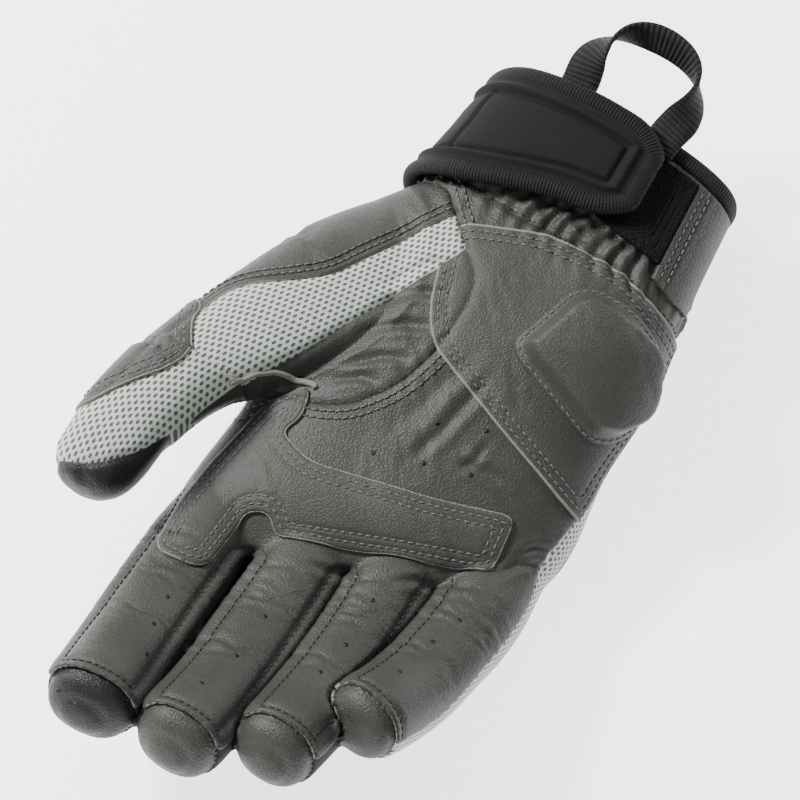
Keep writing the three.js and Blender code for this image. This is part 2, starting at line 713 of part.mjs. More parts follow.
const tipZone = (finger, inset) =>
  tipCutter(finger, TIP_SLANT, inset).intersect(digitSolid(finger, SKIN_MARGIN, OUTSIDE.digit));
const tips = FINGERS.map((finger) => largestBody(handShell.intersect(tipZone(finger, half))));
const openShell = handShell.subtract(join(FINGERS.map((finger) => tipZone(finger, -half))));
const palm = openShell.intersect(palmZone(half));
const back = openShell.subtract(palmZone(-half));

const capZone = (grow) => tallBlock(planOfThumb, THUMB_CAP, BELOW_ALL, grow);
const meshZone = (grow) => tallBlock(planOfThumb, THUMB_MESH, MESH_LOW, grow);
const outerZone = (grow) => tallBlock(planOfThumb, THUMB_OUTER, BELOW_ALL, grow);
const thumbTip = thumbShell.intersect(capZone(-half));
const openThumb = thumbShell.subtract(capZone(half));
const thumbMesh = openThumb.intersect(meshZone(-half));
const thumbLeather = openThumb.subtract(meshZone(half));
const thumbOuter = thumbLeather.intersect(outerZone(-half));
const thumbInner = thumbLeather.subtract(outerZone(half));

function perforations() {
  const length = 2 * PALM_DEPTH;
  return PERFORATIONS.map((hole) => {
    const pin = new THREE.CylinderGeometry(PERFORATION_RADIUS, PERFORATION_RADIUS, length, PERFORATION_SIDES);
    pin.rotateX(Math.PI / 2);
    pin.translate(hole.across * PALM_WIDTH, hole.along * HAND_LENGTH, 0.6 * PALM_DEPTH + length / 2);
    return solidOfGeometry(pin);
  });
}

// Patches

// The corners of an outline moved outwards, so that each edge moves by the same distance
function movedOut(corners, distance) {
  const turn = Math.sign(THREE.ShapeUtils.area(corners));
  const outOf = (from, to) => {
    const way = to.clone().sub(from).normalize();
    return new THREE.Vector2(way.y * turn, -way.x * turn);
  };
  return corners.map((corner, i) => {
    const before = outOf(corners[(i + corners.length - 1) % corners.length], corner);
    const after = outOf(corner, corners[(i + 1) % corners.length]);
    const share = distance / (1 + before.dot(after));
    return corner.clone().addScaledVector(before.add(after), share);
  });
}

// Where a row of an outline lies, seen from above
function planOfHand(row) {
  return new THREE.Vector2(row.across * PALM_WIDTH, row.along * HAND_LENGTH);
}

function planOfThumb(row) {
  return planOfHand(THUMB).add(new THREE.Vector2(row.side, row.out).multiplyScalar(THUMB.length));
}

// A flat outline with rounded corners, as a block from a height up past the glove
function tallBlock(place, outline, low, grow) {
  const corners = movedOut(outline.map(place), grow);
  const shape = new THREE.Shape();
  corners.forEach((corner, i) => {
    const before = corners[(i + corners.length - 1) % corners.length];
    const after = corners[(i + 1) % corners.length];
    const shorter = Math.min(corner.distanceTo(before), corner.distanceTo(after));
    const round = Math.min(outline[i].round, 0.45 * shorter);
    const start = corner.clone().addScaledVector(before.clone().sub(corner).normalize(), round);
    const end = corner.clone().addScaledVector(after.clone().sub(corner).normalize(), round);
    if (i === 0) {
      shape.moveTo(start.x, start.y);
    } else {
      shape.lineTo(start.x, start.y);
    }
    shape.quadraticCurveTo(corner.x, corner.y, end.x, end.y);
  });
  const depth = (ABOVE_ALL - low) * PALM_DEPTH;
  const geometry = new THREE.ExtrudeGeometry(shape, { depth, bevelEnabled: false, curveSegments: CORNER_STEPS });
  geometry.translate(0, 0, low * PALM_DEPTH);
  return solidOfGeometry(geometry);
}

const layer = (low, high) => gloveSolid(high, 0, 0, OUTSIDE).subtract(gloveSolid(low, -0.1, -PALM_DEPTH, OUTSIDE));
const patchLayer = layer(SEAM_GAP, SEAM_GAP + PATCH_LEATHER);
const palmPatch = patchLayer.intersect(tallBlock(planOfHand, PALM_PATCH, PATCH_LOW, 0));
const heelPatch = patchLayer.intersect(tallBlock(planOfHand, HEEL_PATCH, PATCH_LOW, 0));
const thumbSkin = (grow) => digitSolid(THUMB, grow, OUTSIDE.digit);
const knuckleLayer = thumbSkin(SEAM_GAP + KNUCKLE_LEATHER).subtract(thumbSkin(SEAM_GAP));
const knucklePatch = knuckleLayer.intersect(tallBlock(planOfThumb, KNUCKLE_PATCH, KNUCKLE_LOW, 0));

// The slider: rings in from its outline over the crown, then out again underneath
function sliderSolid() {
  const corners = SLIDER_CORNERS.map((corner) => new THREE.Vector3(corner.angle / 100, corner.along, 0));
  const outline = new THREE.CatmullRomCurve3(corners, true, "catmullrom", 0.4).getSpacedPoints(SLIDER_SIDES);
  outline.pop();
  const middle = centreOf(outline);
  const floorOf = SEAM_GAP + PATCH_LEATHER;
  const ring = (inset, height) =>
    outline.map((point) => {
      const place = point.clone().lerp(middle, inset);
      return handPoint(place.y, place.x * 100, floorOf + height);
    });
  const crown = SLIDER_LEVELS.map((level) => ring(level.inset, level.height * SLIDER_HEIGHT)).reverse();
  const under = SLIDER_LEVELS.map((level) => ring(level.inset, 0));
  const skin = handSolid(floorOf + SEAM_GAP, -0.1, 1, OUTSIDE.hand);
  return largestBody(loft([...crown, ...under]).subtract(skin));
}

// A slab of even thickness on a skin, over rows of places
function slabOn(surface, rows, columns, low, thickness) {
  const grid = (height) =>
    rows.map((row) => {
      const line = [];
      for (let i = 0; i <= columns; i++) {
        const along = THREE.MathUtils.lerp(row.from, row.to, i / columns);
        line.push(surface(along, row.angle, (row.lift ?? 0) + height));
      }
      return line;
    });
  return slab(grid(low + thickness), grid(low));
}

// A table of edges round the hand, read at every turn step and at both of its ends
function turnsBetween(table, first, last) {
  const angles = [first];
  for (let angle = Math.ceil((first + 1) / TURN_STEP) * TURN_STEP; angle < last - 1; angle += TURN_STEP) {
    angles.push(angle);
  }
  angles.push(last);
  return angles.map((angle) => rowAt(table, angle));
}

function rowAt(table, angle) {
  const read = (column) => (column in table[0] ? lerpRows(table, "angle", angle, column) : 0);
  return { angle, from: read("from"), to: read("to"), lift: read("lift") };
}

function facingOn(table, thickness, columns) {
  const rows = turnsBetween(table, table[0].angle, table[table.length - 1].angle);
  return slabOn(handPoint, rows, columns, SEAM_GAP, thickness);
}

// Cuff

// Millimetres round the wrist between two angles, at the middle of the strap
function arcBetween(first, last) {
  const steps = Math.max(1, Math.ceil(Math.abs(last - first)));
  let total = 0;
  for (let i = 0; i < steps; i++) {
    const a = handPoint(0.12, THREE.MathUtils.lerp(first, last, i / steps), 0);
    const b = handPoint(0.12, THREE.MathUtils.lerp(first, last, (i + 1) / steps), 0);
    total += a.distanceTo(b);
  }
  return total;
}

function angleBefore(last, distance) {
  let angle = last;
  while (arcBetween(angle, last) < distance) {
    angle -= 0.25;
  }
  return angle;
}

// Rows of the strap with every edge moved in by a distance, and its end rounded
function strapRows(inset) {
  const first = STRAP_EDGES[0].angle + (inset > 0 ? 2 : 0);
  const end = STRAP_EDGES[STRAP_EDGES.length - 1].angle;
  const radius = STRAP_END_RADIUS - inset;
  const straight = turnsBetween(STRAP_EDGES, first, angleBefore(end, inset + radius));
  const rounded = [];
  for (let i = 1; i <= STRAP_END_STEPS; i++) {
    const turn = (i / STRAP_END_STEPS) * (Math.PI / 2);
    const row = rowAt(STRAP_EDGES, angleBefore(end, inset + radius * (1 - Math.sin(turn))));
    const cut = (radius * (1 - Math.cos(turn))) / HAND_LENGTH;
    rounded.push({ ...row, from: row.from + cut, to: row.to - cut });
  }
  const moved = inset / HAND_LENGTH;
  return [...straight, ...rounded].map((row) => ({ ...row, from: row.from + moved, to: row.to - moved }));
}

const strapInset = STRAP_BINDING_WIDTH + 1.5 * SEAM_GAP;
const wristStrap = slabOn(handPoint, strapRows(strapInset), STRAP_COLUMNS, 0, NEOPRENE);

// The binding: an oval tube along the strap's edge, with its middle in the middle of the neoprene
function strapBinding() {
  const rows = strapRows(STRAP_BINDING_WIDTH / 2);
  const places = [
    ...rows.map((row) => ({ angle: row.angle, along: row.from, lift: row.lift })),
    ...rows.map((row) => ({ angle: row.angle, along: row.to, lift: row.lift })).reverse(),
  ];
  const spots = places.map((place) => handPoint(place.along, place.angle, place.lift + NEOPRENE / 2));
  const last = places.length - 1;
  const rings = places.map((place, i) => {
    const way = spots[Math.min(i + 1, last)].clone().sub(spots[Math.max(i - 1, 0)]).normalize();
    const normal = normalAt(handPoint, place.along, place.angle);
    const side = new THREE.Vector3().crossVectors(way, normal).normalize();
    return turnsOf(BINDING_SIDES).map((degrees) => {
      const [u, v] = ovalPoint(degrees, 2);
      return spots[i]
        .clone()
        .addScaledVector(side, (u * STRAP_BINDING_WIDTH) / 2)
        .addScaledVector(normal, (v * STRAP_BINDING_THICKNESS) / 2);
    });
  });
  return loft(rings);
}

function cuffBinding() {
  const width = CUFF_BINDING_WIDTH / HAND_LENGTH;
  const whole = handSolid(CUFF_BINDING_RISE, 0, width, OUTSIDE.hand);
  return whole.subtract(handSolid(-LEATHER - CUFF_BINDING_RISE, -0.1, 2 * width, INSIDE.hand));
}

// The pull loop: flat webbing along a smooth course that leaves the cuff, twists, and comes back
function angleOver(along, x) {
  const middle = lerpRows(HAND_SECTIONS, "along", along, "across") * PALM_WIDTH;
  const half = (lerpRows(HAND_SECTIONS, "along", along, "width") * PALM_WIDTH) / 2;
  const u = (x - middle) / half;
  return THREE.MathUtils.radToDeg(Math.acos(Math.sign(u) * Math.abs(u) ** (HAND_POWER / 2)));
}

function pullLoop() {
  const tail = { side: 1, out: -LOOP_TAIL / LOOP_REACH, rise: 0, twist: 0 };
  const course = [tail, ...LOOP_COURSE, { ...tail, side: -1 }];
  const height = LOOP_LIFT + WEBBING_THICKNESS / 2;
  const knots = course.map((row) => {
    const along = (-row.out * LOOP_REACH) / HAND_LENGTH;
    const x = LOOP_MIDDLE * PALM_WIDTH + (row.side * LOOP_SPAN) / 2;
    return handPoint(along, angleOver(along, x), height + row.rise * LOOP_RISE);
  });
  const curve = new THREE.CatmullRomCurve3(knots, false, "centripetal");
  const rings = [];
  for (let i = 0; i <= LOOP_STEPS; i++) {
    const t = i / LOOP_STEPS;
    const spot = curve.getPoint(t);
    const way = curve.getTangent(t);
    const flat = new THREE.Vector3().crossVectors(way, new THREE.Vector3(0, 0, 1)).normalize();
    const up = new THREE.Vector3().crossVectors(flat, way);
    const row = t * (course.length - 1);
    const before = course[Math.floor(row)];
    const after = course[Math.min(Math.floor(row) + 1, course.length - 1)];
    const twist = THREE.MathUtils.degToRad(THREE.MathUtils.lerp(before.twist, after.twist, row % 1));
    const side = flat.clone().multiplyScalar(Math.cos(twist)).addScaledVector(up, Math.sin(twist));
    const face = new THREE.Vector3().crossVectors(side, way).normalize();
    const corner = (u, v) =>
      spot.clone().addScaledVector(side, (u * WEBBING_WIDTH) / 2).addScaledVector(face, (v * WEBBING_THICKNESS) / 2);
    rings.push([corner(-1, -1), corner(1, -1), corner(1, 1), corner(-1, 1)]);
  }
  return loft(rings);
}

// The glove, moved so that the middle of its box is over the origin and its lowest point lies on the ground

const pieces = [
  ["palm_leather", palm.subtract(join(perforations())), LEATHER_GREY],
  ["back_panel", back, TEXTILE_GREY],
  ["index_tip", tips[0], BLACK_LEATHER],
  ["middle_tip", tips[1], LEATHER_GREY],
  ["ring_tip", tips[2], LEATHER_GREY],
  ["little_tip", tips[3], LEATHER_GREY],
  ["thumb_outer_panel", thumbOuter, LEATHER_GREY],
  ["thumb_mesh_panel", thumbMesh, MESH_GREY],
  ["thumb_inner_panel", thumbInner, LEATHER_SHADE],
  ["thumb_tip", thumbTip, BLACK_LEATHER],
  ["thumb_knuckle_patch", knucklePatch, LEATHER_GREY],
  ["palm_patch", palmPatch, LEATHER_GREY],
  ["heel_patch", heelPatch, LEATHER_GREY],
  ["heel_slider", sliderSolid(), LEATHER_GREY],
  ["wrist_strap", wristStrap, BLACK_CLOTH],
  ["strap_binding", strapBinding(), BLACK_CLOTH],
  ["hook_pad", facingOn(HOOK_PAD, HOOK_PAD_THICKNESS, 4), HOOK_BLACK],
  ["cuff_facing", facingOn(CUFF_FACING, CUFF_FACING_LEATHER, 4), LEATHER_GREY],
  ["cuff_binding", cuffBinding(), BLACK_CLOTH],
  ["pull_loop", pullLoop(), BLACK_CLOTH],
];

const glove = new THREE.Group();
for (const [name, solid, look] of pieces) {
  const mesh = new THREE.Mesh(geometryOfSolid(largestBody(solid)), new THREE.MeshStandardMaterial(look));
  mesh.name = name;
  glove.add(mesh);
}
const bounds = new THREE.Box3().setFromObject(glove);
const middle = bounds.getCenter(new THREE.Vector3());
glove.position.set(-middle.x, -middle.y, -bounds.min.z);

const root = new THREE.Group();
root.add(glove);

export default root;
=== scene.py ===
# %% [markdown]
# # A leather motorcycle glove
# A right-hand glove lies on its back with the palm up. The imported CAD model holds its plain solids. This
# lesson dresses them: one smooth skin is grown over the hand, cut along its seams into panels with real
# thickness, and then folded, patched and stitched as a glove maker would.

# %% Tools and the frame
import math

import bpy
import numpy as np
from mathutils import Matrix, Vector, noise


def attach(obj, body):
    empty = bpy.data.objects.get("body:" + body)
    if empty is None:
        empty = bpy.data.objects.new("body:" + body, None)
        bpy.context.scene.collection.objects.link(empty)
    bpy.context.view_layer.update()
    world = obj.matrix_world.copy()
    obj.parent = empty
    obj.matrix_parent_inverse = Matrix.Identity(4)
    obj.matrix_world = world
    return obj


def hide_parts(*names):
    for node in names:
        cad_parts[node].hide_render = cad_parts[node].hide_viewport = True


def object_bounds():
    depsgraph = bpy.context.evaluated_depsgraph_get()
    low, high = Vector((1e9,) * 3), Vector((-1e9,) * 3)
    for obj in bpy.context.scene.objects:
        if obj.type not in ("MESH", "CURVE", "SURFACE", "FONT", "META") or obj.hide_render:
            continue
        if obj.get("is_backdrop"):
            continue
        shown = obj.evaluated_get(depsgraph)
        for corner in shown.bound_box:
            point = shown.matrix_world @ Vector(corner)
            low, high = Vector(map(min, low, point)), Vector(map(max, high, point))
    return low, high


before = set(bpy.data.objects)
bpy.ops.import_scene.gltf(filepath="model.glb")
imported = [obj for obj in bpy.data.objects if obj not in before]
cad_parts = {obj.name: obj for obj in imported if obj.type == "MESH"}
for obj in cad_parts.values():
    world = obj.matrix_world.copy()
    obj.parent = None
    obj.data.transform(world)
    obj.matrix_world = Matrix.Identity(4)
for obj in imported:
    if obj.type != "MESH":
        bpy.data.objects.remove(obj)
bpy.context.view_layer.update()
MM = 0.001
bpy.ops.object.select_all(action="DESELECT")
print("frame loaded with", len(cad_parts), "nodes")

# %% [markdown]
# ## The sizes of the hand
# A glove pattern is a set of cross sections. The tables say where each section lies along the hand or a
# finger, how wide and deep it is, and how its middle line bends. They follow the ones that the solids were
# lofted through, with the digits fitted a little closer to the photograph, and they are eased, so that the
# leather has no corners where two rows meet.

# %% Tables of the hand, in shares of its length, width and depth
HAND_LENGTH, PALM_WIDTH, PALM_DEPTH = 154.0, 104.0, 42.0
SHIFT = np.array([3.802, -107.455, 0.0])
HAND_POWER, DIGIT_POWER = 2.5, 2.3
HAND_COLUMNS = ("along", "across", "width", "low", "depth", "lean", "thumb_seam", "little_seam")
HAND_ROWS = np.array([
    (-0.06, -0.13, 0.72, 0.13, 1.02, 0.04, 0.4, 0.4),
    (0.0, -0.13, 0.72, 0.13, 1.02, 0.04, 0.4, 0.4),
    (0.2, -0.156, 0.774, 0.13, 0.99, 0.02, 0.4, 0.4),
    (0.3, -0.15, 0.86, 0.07, 1.04, 0.02, 0.4, 0.4),
    (0.42, -0.168, 0.915, -0.02, 1.13, 0.07, 0.4, 0.4),
    (0.6, -0.17, 0.925, -0.03, 1.05, 0.16, 0.43, 0.56),
    (0.8, -0.193, 0.976, -0.03, 0.93, 0.3, 0.46, 0.72),
    (0.92, -0.195, 0.985, 0.01, 0.84, 0.38, 0.48, 0.76),
    (1.0, -0.2, 0.82, 0.18, 0.5, 0.42, 0.5, 0.8),
])
FINGER_ROWS = np.array([
    (-0.25, 0.9, 0.88), (0.02, 1.0, 1.06), (0.2, 1.01, 1.04), (0.36, 0.97, 0.96), (0.54, 0.98, 0.98),
    (0.76, 0.96, 0.97), (0.9, 0.96, 0.96), (1.02, 0.94, 0.94),
])
THUMB_ROWS = np.array([
    (0.0, 1.18, 1.1), (0.12, 1.5, 1.36), (0.26, 1.6, 1.4), (0.4, 1.38, 1.3), (0.52, 1.14, 1.16),
    (0.63, 0.95, 1.02), (0.8, 0.87, 0.95), (0.91, 0.85, 0.88), (1.02, 0.84, 0.86),
])
DIGITS = {
    "index": dict(
        start=(0.152, 1.1, 0.46), length=75.5, width=28.8, depth=26, seams=(0.93, 0.86), tip=0.92,
        course=[(-0.3, 2, 0), (0, -4, 8), (0.45, -7, 24), (1, -10, 38)]),
    "middle": dict(
        start=(-0.118, 1.04, 0.46), length=80.5, width=27.4, depth=26, seams=(0.86, 0.86), tip=0.925,
        course=[(-0.3, -2, 0), (0, -6, 8), (0.45, -6, 22), (1, -3, 40)]),
    "ring": dict(
        start=(-0.345, 0.965, 0.46), length=79, width=26, depth=25, seams=(0.86, 0.86), tip=0.92,
        course=[(-0.3, -6, 0), (0, -8, 8), (0.45, -6, 22), (1, -2, 42)]),
    "little": dict(
        start=(-0.575, 0.885, 0.46), length=69, width=25.5, depth=24, seams=(0.88, 0.92), tip=0.92,
        course=[(-0.3, -8, 0), (0, -6, 10), (0.45, 2, 24), (1, 13, 42)]),
    "thumb": dict(
        start=(0.1, 0.33, 0.58), length=137.5, width=31, depth=28, seams=(0, 0), tip=0.93,
        course=[(0, 14, 4), (0.2, 26, 10), (0.45, 28, 12), (0.7, 14, 4), (1, -6, -8)]),
}
FINGERS = ("index", "middle", "ring", "little")


def eased(knots, values, softness):
    at = np.linspace(knots[0], knots[-1], 401)
    line = np.interp(at, knots, values)
    step = at[1] - at[0]
    reach = int(3 * softness / step)
    kernel = np.exp(-0.5 * (np.arange(-reach, reach + 1) * step / softness) ** 2)
    before = 2 * line[0] - line[reach:0:-1]
    after = 2 * line[-1] - line[-2:-reach - 2:-1]
    return at, np.convolve(np.concatenate([before, line, after]), kernel / kernel.sum(), "valid")


hand_table = {name: eased(HAND_ROWS[:, 0], HAND_ROWS[:, i], 0.035)
              for i, name in enumerate(HAND_COLUMNS) if i}


def hand(column, along):
    return np.interp(along, *hand_table[column])


def unit(rows):
    return rows / np.linalg.norm(rows, axis=-1)[..., None]


def travelled(spots):
    return np.concatenate([[0], np.cumsum(np.linalg.norm(np.diff(spots, axis=0), axis=1))])


def read_off(at, knots, rows):
    return np.stack([np.interp(at, knots, rows[:, i]) for i in range(rows.shape[1])], -1)


def net_faces(rows, around):
    return [(row * around + i, row * around + (i + 1) % around,
             (row + 1) * around + (i + 1) % around, (row + 1) * around + i)
            for row in range(rows - 1) for i in range(around)]


def superellipse(degrees, power):
    turn = np.radians(degrees)
    c, s = np.cos(turn), np.sin(turn)
    return np.sign(c) * abs(c) ** (2 / power), np.sign(s) * abs(s) ** (2 / power)


def hand_point(along, degrees, lift=0.0):
    along, degrees, lift = np.broadcast_arrays(*(np.asarray(x, float) for x in (along, degrees, lift)))
    u, v = superellipse(degrees, HAND_POWER)
    side = u * (hand("width", along) * PALM_WIDTH / 2 + lift)
    tall = hand("depth", along) * PALM_DEPTH / 2
    x = hand("across", along) * PALM_WIDTH + side
    y = along * HAND_LENGTH + hand("lean", along) * side
    z = hand("low", along) * PALM_DEPTH + tall + v * (tall + lift)
    return np.stack([x, y, z], -1) + SHIFT


print("palm", PALM_WIDTH, "mm wide,", HAND_LENGTH, "mm to the finger roots")

# %% [markdown]
# ## The middle lines of the fingers
# Each finger follows a course of headings and pitches. Walking along it in small steps gives the middle
# line, and at each step the directions to its side and up, on which the cross section is drawn.

# %% Courses of the digits
STATIONS = 128
THUMB_ROUND_FROM, FINGER_ROUND_FROM = 0.88, 0.86


def digit_course(name):
    digit = DIGITS[name]
    rows = THUMB_ROWS if name == "thumb" else FINGER_ROWS
    at = np.linspace(rows[0, 0], rows[-1, 0], STATIONS)
    knots = np.array(digit["course"], float)
    heading = np.radians(np.interp(at, *eased(knots[:, 0], knots[:, 1], 0.05)))
    pitch = np.radians(np.interp(at, *eased(knots[:, 0], knots[:, 2], 0.05)))
    way = np.stack([np.sin(heading) * np.cos(pitch), np.cos(heading) * np.cos(pitch), np.sin(pitch)], -1)
    steps = (way[1:] + way[:-1]) / 2 * np.diff(at)[:, None] * digit["length"]
    path = np.vstack([np.zeros(3), np.cumsum(steps, 0)])
    root = read_off(0.0, at, path)
    path += np.array(digit["start"]) * (PALM_WIDTH, HAND_LENGTH, PALM_DEPTH) + SHIFT - root
    side = unit(np.stack([way[:, 1], -way[:, 0], np.zeros(STATIONS)], -1))
    up = np.cross(side, way)
    round_from = THUMB_ROUND_FROM if name == "thumb" else FINGER_ROUND_FROM
    end = rows[-1, 0]
    past = np.clip(at - round_from, 0, None) / (end - round_from)
    closing = np.clip(1 - past ** 2.9, 0.004, 1) ** (1 / 2.3)
    half = np.interp(at, *eased(rows[:, 0], rows[:, 1], 0.03)) * digit["width"] / 2 * closing
    tall = np.interp(at, *eased(rows[:, 0], rows[:, 2], 0.03)) * digit["depth"] / 2 * closing
    return dict(at=at, path=path, way=way, side=side, up=up, half=half, tall=tall, length=digit["length"])


courses = {name: digit_course(name) for name in DIGITS}


def digit_ring(course, station, around):
    u, v = superellipse(np.arange(around) * 360 / around, DIGIT_POWER)
    out = course["side"][station] * course["half"][station] * u[:, None]
    return course["path"][station] + out + course["up"][station] * course["tall"][station] * v[:, None]


tip_heights = {name: round(float(course["path"][-1, 2]), 1) for name, course in courses.items()}
print("heights of the tips in mm", tip_heights)

# %% [markdown]
# ## One skin over the hand
# The palm, four fingers and the thumb are lofted as closed tubes that run into each other. A voxel remesh
# melts them into one even net of small faces, and a little smoothing rounds the crotches between the
# fingers, where leather never folds to a sharp corner. An even net also lets a seam be laid anywhere on it
# later.

# %% Lofts, joined and remeshed
VOXEL = 0.85


def loft(name, rings):
    around = len(rings[0])
    faces = [tuple(range(around))[::-1], *net_faces(len(rings), around)]
    faces.append(tuple((len(rings) - 1) * around + i for i in range(around)))
    mesh = bpy.data.meshes.new(name)
    mesh.from_pydata((np.concatenate(rings) * MM).tolist(), [], faces)
    form = bpy.data.objects.new(name, mesh)
    bpy.context.collection.objects.link(form)
    return form


def select_only(*forms):
    bpy.ops.object.select_all(action="DESELECT")
    for form in forms:
        form.select_set(True)
    bpy.context.view_layer.objects.active = forms[0]


turns = np.arange(96) * 360 / 96
forms = [loft("hand", [hand_point(along, turns) for along in np.linspace(-0.05, 1.0, 64)])]
for name, course in courses.items():
    forms.append(loft(name, [digit_ring(course, k, 64) for k in range(STATIONS)]))
select_only(*forms)
bpy.ops.object.join()
body = bpy.context.object
bpy.ops.object.mode_set(mode="EDIT")
bpy.ops.mesh.select_all(action="SELECT")
bpy.ops.mesh.normals_make_consistent(inside=False)
bpy.ops.object.mode_set(mode="OBJECT")
melt = body.modifiers.new("melt", "REMESH")
melt.mode = "VOXEL"
melt.voxel_size = VOXEL * MM
bpy.ops.object.modifier_apply(modifier=melt.name)


def arrays_of(form):
    mesh = form.data
    points = np.zeros(len(mesh.vertices) * 3, np.float32)
    mesh.vertices.foreach_get("co", points)
    mesh.calc_loop_triangles()
    corners = np.zeros(len(mesh.loop_triangles) * 3, np.int32)
    mesh.loop_triangles.foreach_get("vertices", corners)
    return points.reshape(-1, 3).astype(float) / MM, corners.reshape(-1, 3)


points, triangles = arrays_of(body)
bpy.data.objects.remove(body)


def edges_of(triangles):
    pairs = np.concatenate([triangles[:, [0, 1]], triangles[:, [1, 2]], triangles[:, [2, 0]]])
    return np.unique(np.sort(pairs, 1), axis=0)


def relaxed(points, edges, rounds):
    a, b = edges.T
    degree = np.bincount(edges.ravel(), minlength=len(points))
    for _ in range(rounds):
        total = np.stack([np.bincount(a, points[b, i], len(points))
                          + np.bincount(b, points[a, i], len(points)) for i in range(3)], -1)
        points = points + (total / degree[:, None] - points) * 0.5
    return points


def normals_of(points, triangles):
    p, q, r = (points[triangles[:, i]] for i in range(3))
    face = np.cross(q - p, r - p)
    corners = triangles.ravel()
    total = np.stack([np.bincount(corners, np.repeat(face[:, i], 3), len(points)) for i in range(3)], -1)
    return total / np.maximum(np.linalg.norm(total, axis=1), 1e-9)[:, None]


edges = edges_of(triangles)
points = relaxed(points, edges, 12)
points[:, 2] = np.maximum(points[:, 2], 0.0)
if np.mean(np.einsum("ij,ij->i", normals_of(points, triangles), points - points.mean(0))) < 0:
    triangles = triangles[:, ::-1]
print("skin of", len(points), "points and", len(triangles), "triangles")

# %% [markdown]
# ## Where every point lies on the glove
# A seam is easiest to draw on a flat pattern, so each point of the skin gets its place along the hand and
# round it, and along each finger and across it. How near a point lies to each part's own surface says which
# part it belongs to.

# %% Places on the hand and on each digit
def hand_places(points):
    local = points - SHIFT
    along = local[:, 1] / HAND_LENGTH
    for _ in range(5):
        side = local[:, 0] - hand("across", along) * PALM_WIDTH
        along = (local[:, 1] - hand("lean", along) * side) / HAND_LENGTH
    tall = hand("depth", along) * PALM_DEPTH / 2
    half = hand("width", along) * PALM_WIDTH / 2
    u = side / half
    v = (local[:, 2] - hand("low", along) * PALM_DEPTH - tall) / tall
    ratio = (abs(u) ** HAND_POWER + abs(v) ** HAND_POWER) ** (1 / HAND_POWER)
    bend = HAND_POWER / 2
    degrees = np.degrees(np.arctan2(np.sign(v) * abs(v) ** bend, np.sign(u) * abs(u) ** bend))
    near = np.maximum((ratio - 1) * np.minimum(half, tall), (along - 1) * HAND_LENGTH)
    return dict(along=along, degrees=degrees, near=near)


def digit_places(points, course):
    nearest = np.zeros(len(points), int)
    for start in range(0, len(points), 20000):
        block = points[start:start + 20000]
        gaps = np.linalg.norm(block[:, None] - course["path"][None], axis=2)
        nearest[start:start + 20000] = gaps.argmin(1)
    offset = points - course["path"][nearest]
    at = course["at"][nearest] + np.einsum("ij,ij->i", offset, course["way"][nearest]) / course["length"]
    at = np.clip(at, course["at"][0], course["at"][-1])
    read = {key: read_off(at, course["at"], course[key]) for key in ("path", "side", "up")}
    offset = points - read["path"]
    u = np.einsum("ij,ij->i", offset, read["side"])
    v = np.einsum("ij,ij->i", offset, read["up"])
    half, tall = (np.interp(at, course["at"], course[key]) for key in ("half", "tall"))
    ratio = (abs(u / half) ** DIGIT_POWER + abs(v / tall) ** DIGIT_POWER) ** (1 / DIGIT_POWER)
    near = (ratio - 1) * np.minimum(half, tall)
    near[at <= course["at"][0]] = 99
    return dict(at=at, u=u, v=v, near=near, half=half, tall=tall)


on_hand = hand_places(points)
on_digit = {name: digit_places(points, course) for name, course in courses.items()}
nearness = np.stack([on_digit[name]["near"] for name in FINGERS])
own_finger = nearness.argmin(0)
finger_near, second_near = np.sort(nearness, axis=0)[:2]
print("nearest finger found for", len(own_finger), "points")

# %% [markdown]
# ## Seams as distances
# Each seam is a line on a flat pattern. For every point the signed distance to that line is kept: more than
# 0 inside the panel and less outside. A smooth distance gives a smooth seam, also between the points of the
# net, and the same number places stitches 2 mm inside the edge or thins the leather towards it.

# %% Patterns of the panels
THUMB_MESH = [(0.09, 0.33, 2), (0.205, 0.478, 10), (0.265, 0.574, 10), (0.345, 0.627, 10), (0.475, 0.695, 12),
              (0.515, 0.82, 12), (0.56, 1.02, 6), (0.75, 1.1, 1), (0.75, 1.3, 1), (0.36, 1.3, 1),
              (0.34, 0.96, 12),
              (0.285, 0.845, 12), (0.19, 0.71, 12), (0.112, 0.567, 12), (0.0, 0.39, 2)]
THUMB_OUTER = [(0.05, 0.2, 1), (0.05, 0.36, 1), (0.16, 0.53, 9), (0.25, 0.68, 9), (0.38, 0.82, 9),
               (0.45, 1.0, 9), (0.52, 1.3, 1), (0.9, 1.3, 1), (0.9, 0.1, 1)]
THUMB_CAP = [(0.2, 0.97, 1), (0.35, 1.0, 2), (0.385, 1.078, 8), (0.46, 1.14, 8), (0.536, 1.161, 6),
             (0.75, 1.17, 1), (0.75, 1.4, 1), (0.2, 1.4, 1)]
KNUCKLE_PATCH = [(0.505, 0.752, 3), (0.49, 0.8, 8), (0.425, 0.868, 9), (0.45, 0.918, 8), (0.505, 0.968, 8),
                 (0.585, 1.055, 2), (0.8, 1.06, 1), (0.8, 0.74, 1)]
THENAR = [(0.16, 0.3, 4), (0.1, 0.34, 5), (-0.09, 0.44, 8), (-0.1, 0.57, 20), (-0.06, 0.68, 14),
          (0.02, 0.755, 8), (0.1, 0.785, 6), (0.2, 0.8, 4), (0.7, 0.8, 1), (0.7, 0.3, 1)]
PALM_PATCH = [(0.14, 0.76, 3), (0.105, 0.82, 3), (0.13, 0.862, 5), (0.02, 0.886, 8), (-0.342, 0.811, 8),
              (-0.531, 0.751, 4), (-0.562, 0.862, 7), (-0.52, 0.875, 3), (-0.084, 1.012, 5),
              (-0.02, 1.028, 5),
              (0.03, 1.0, 5), (0.084, 1.02, 6), (0.074, 1.17, 6), (0.222, 1.19, 6), (0.262, 1.03, 10),
              (0.219, 0.819, 8)]
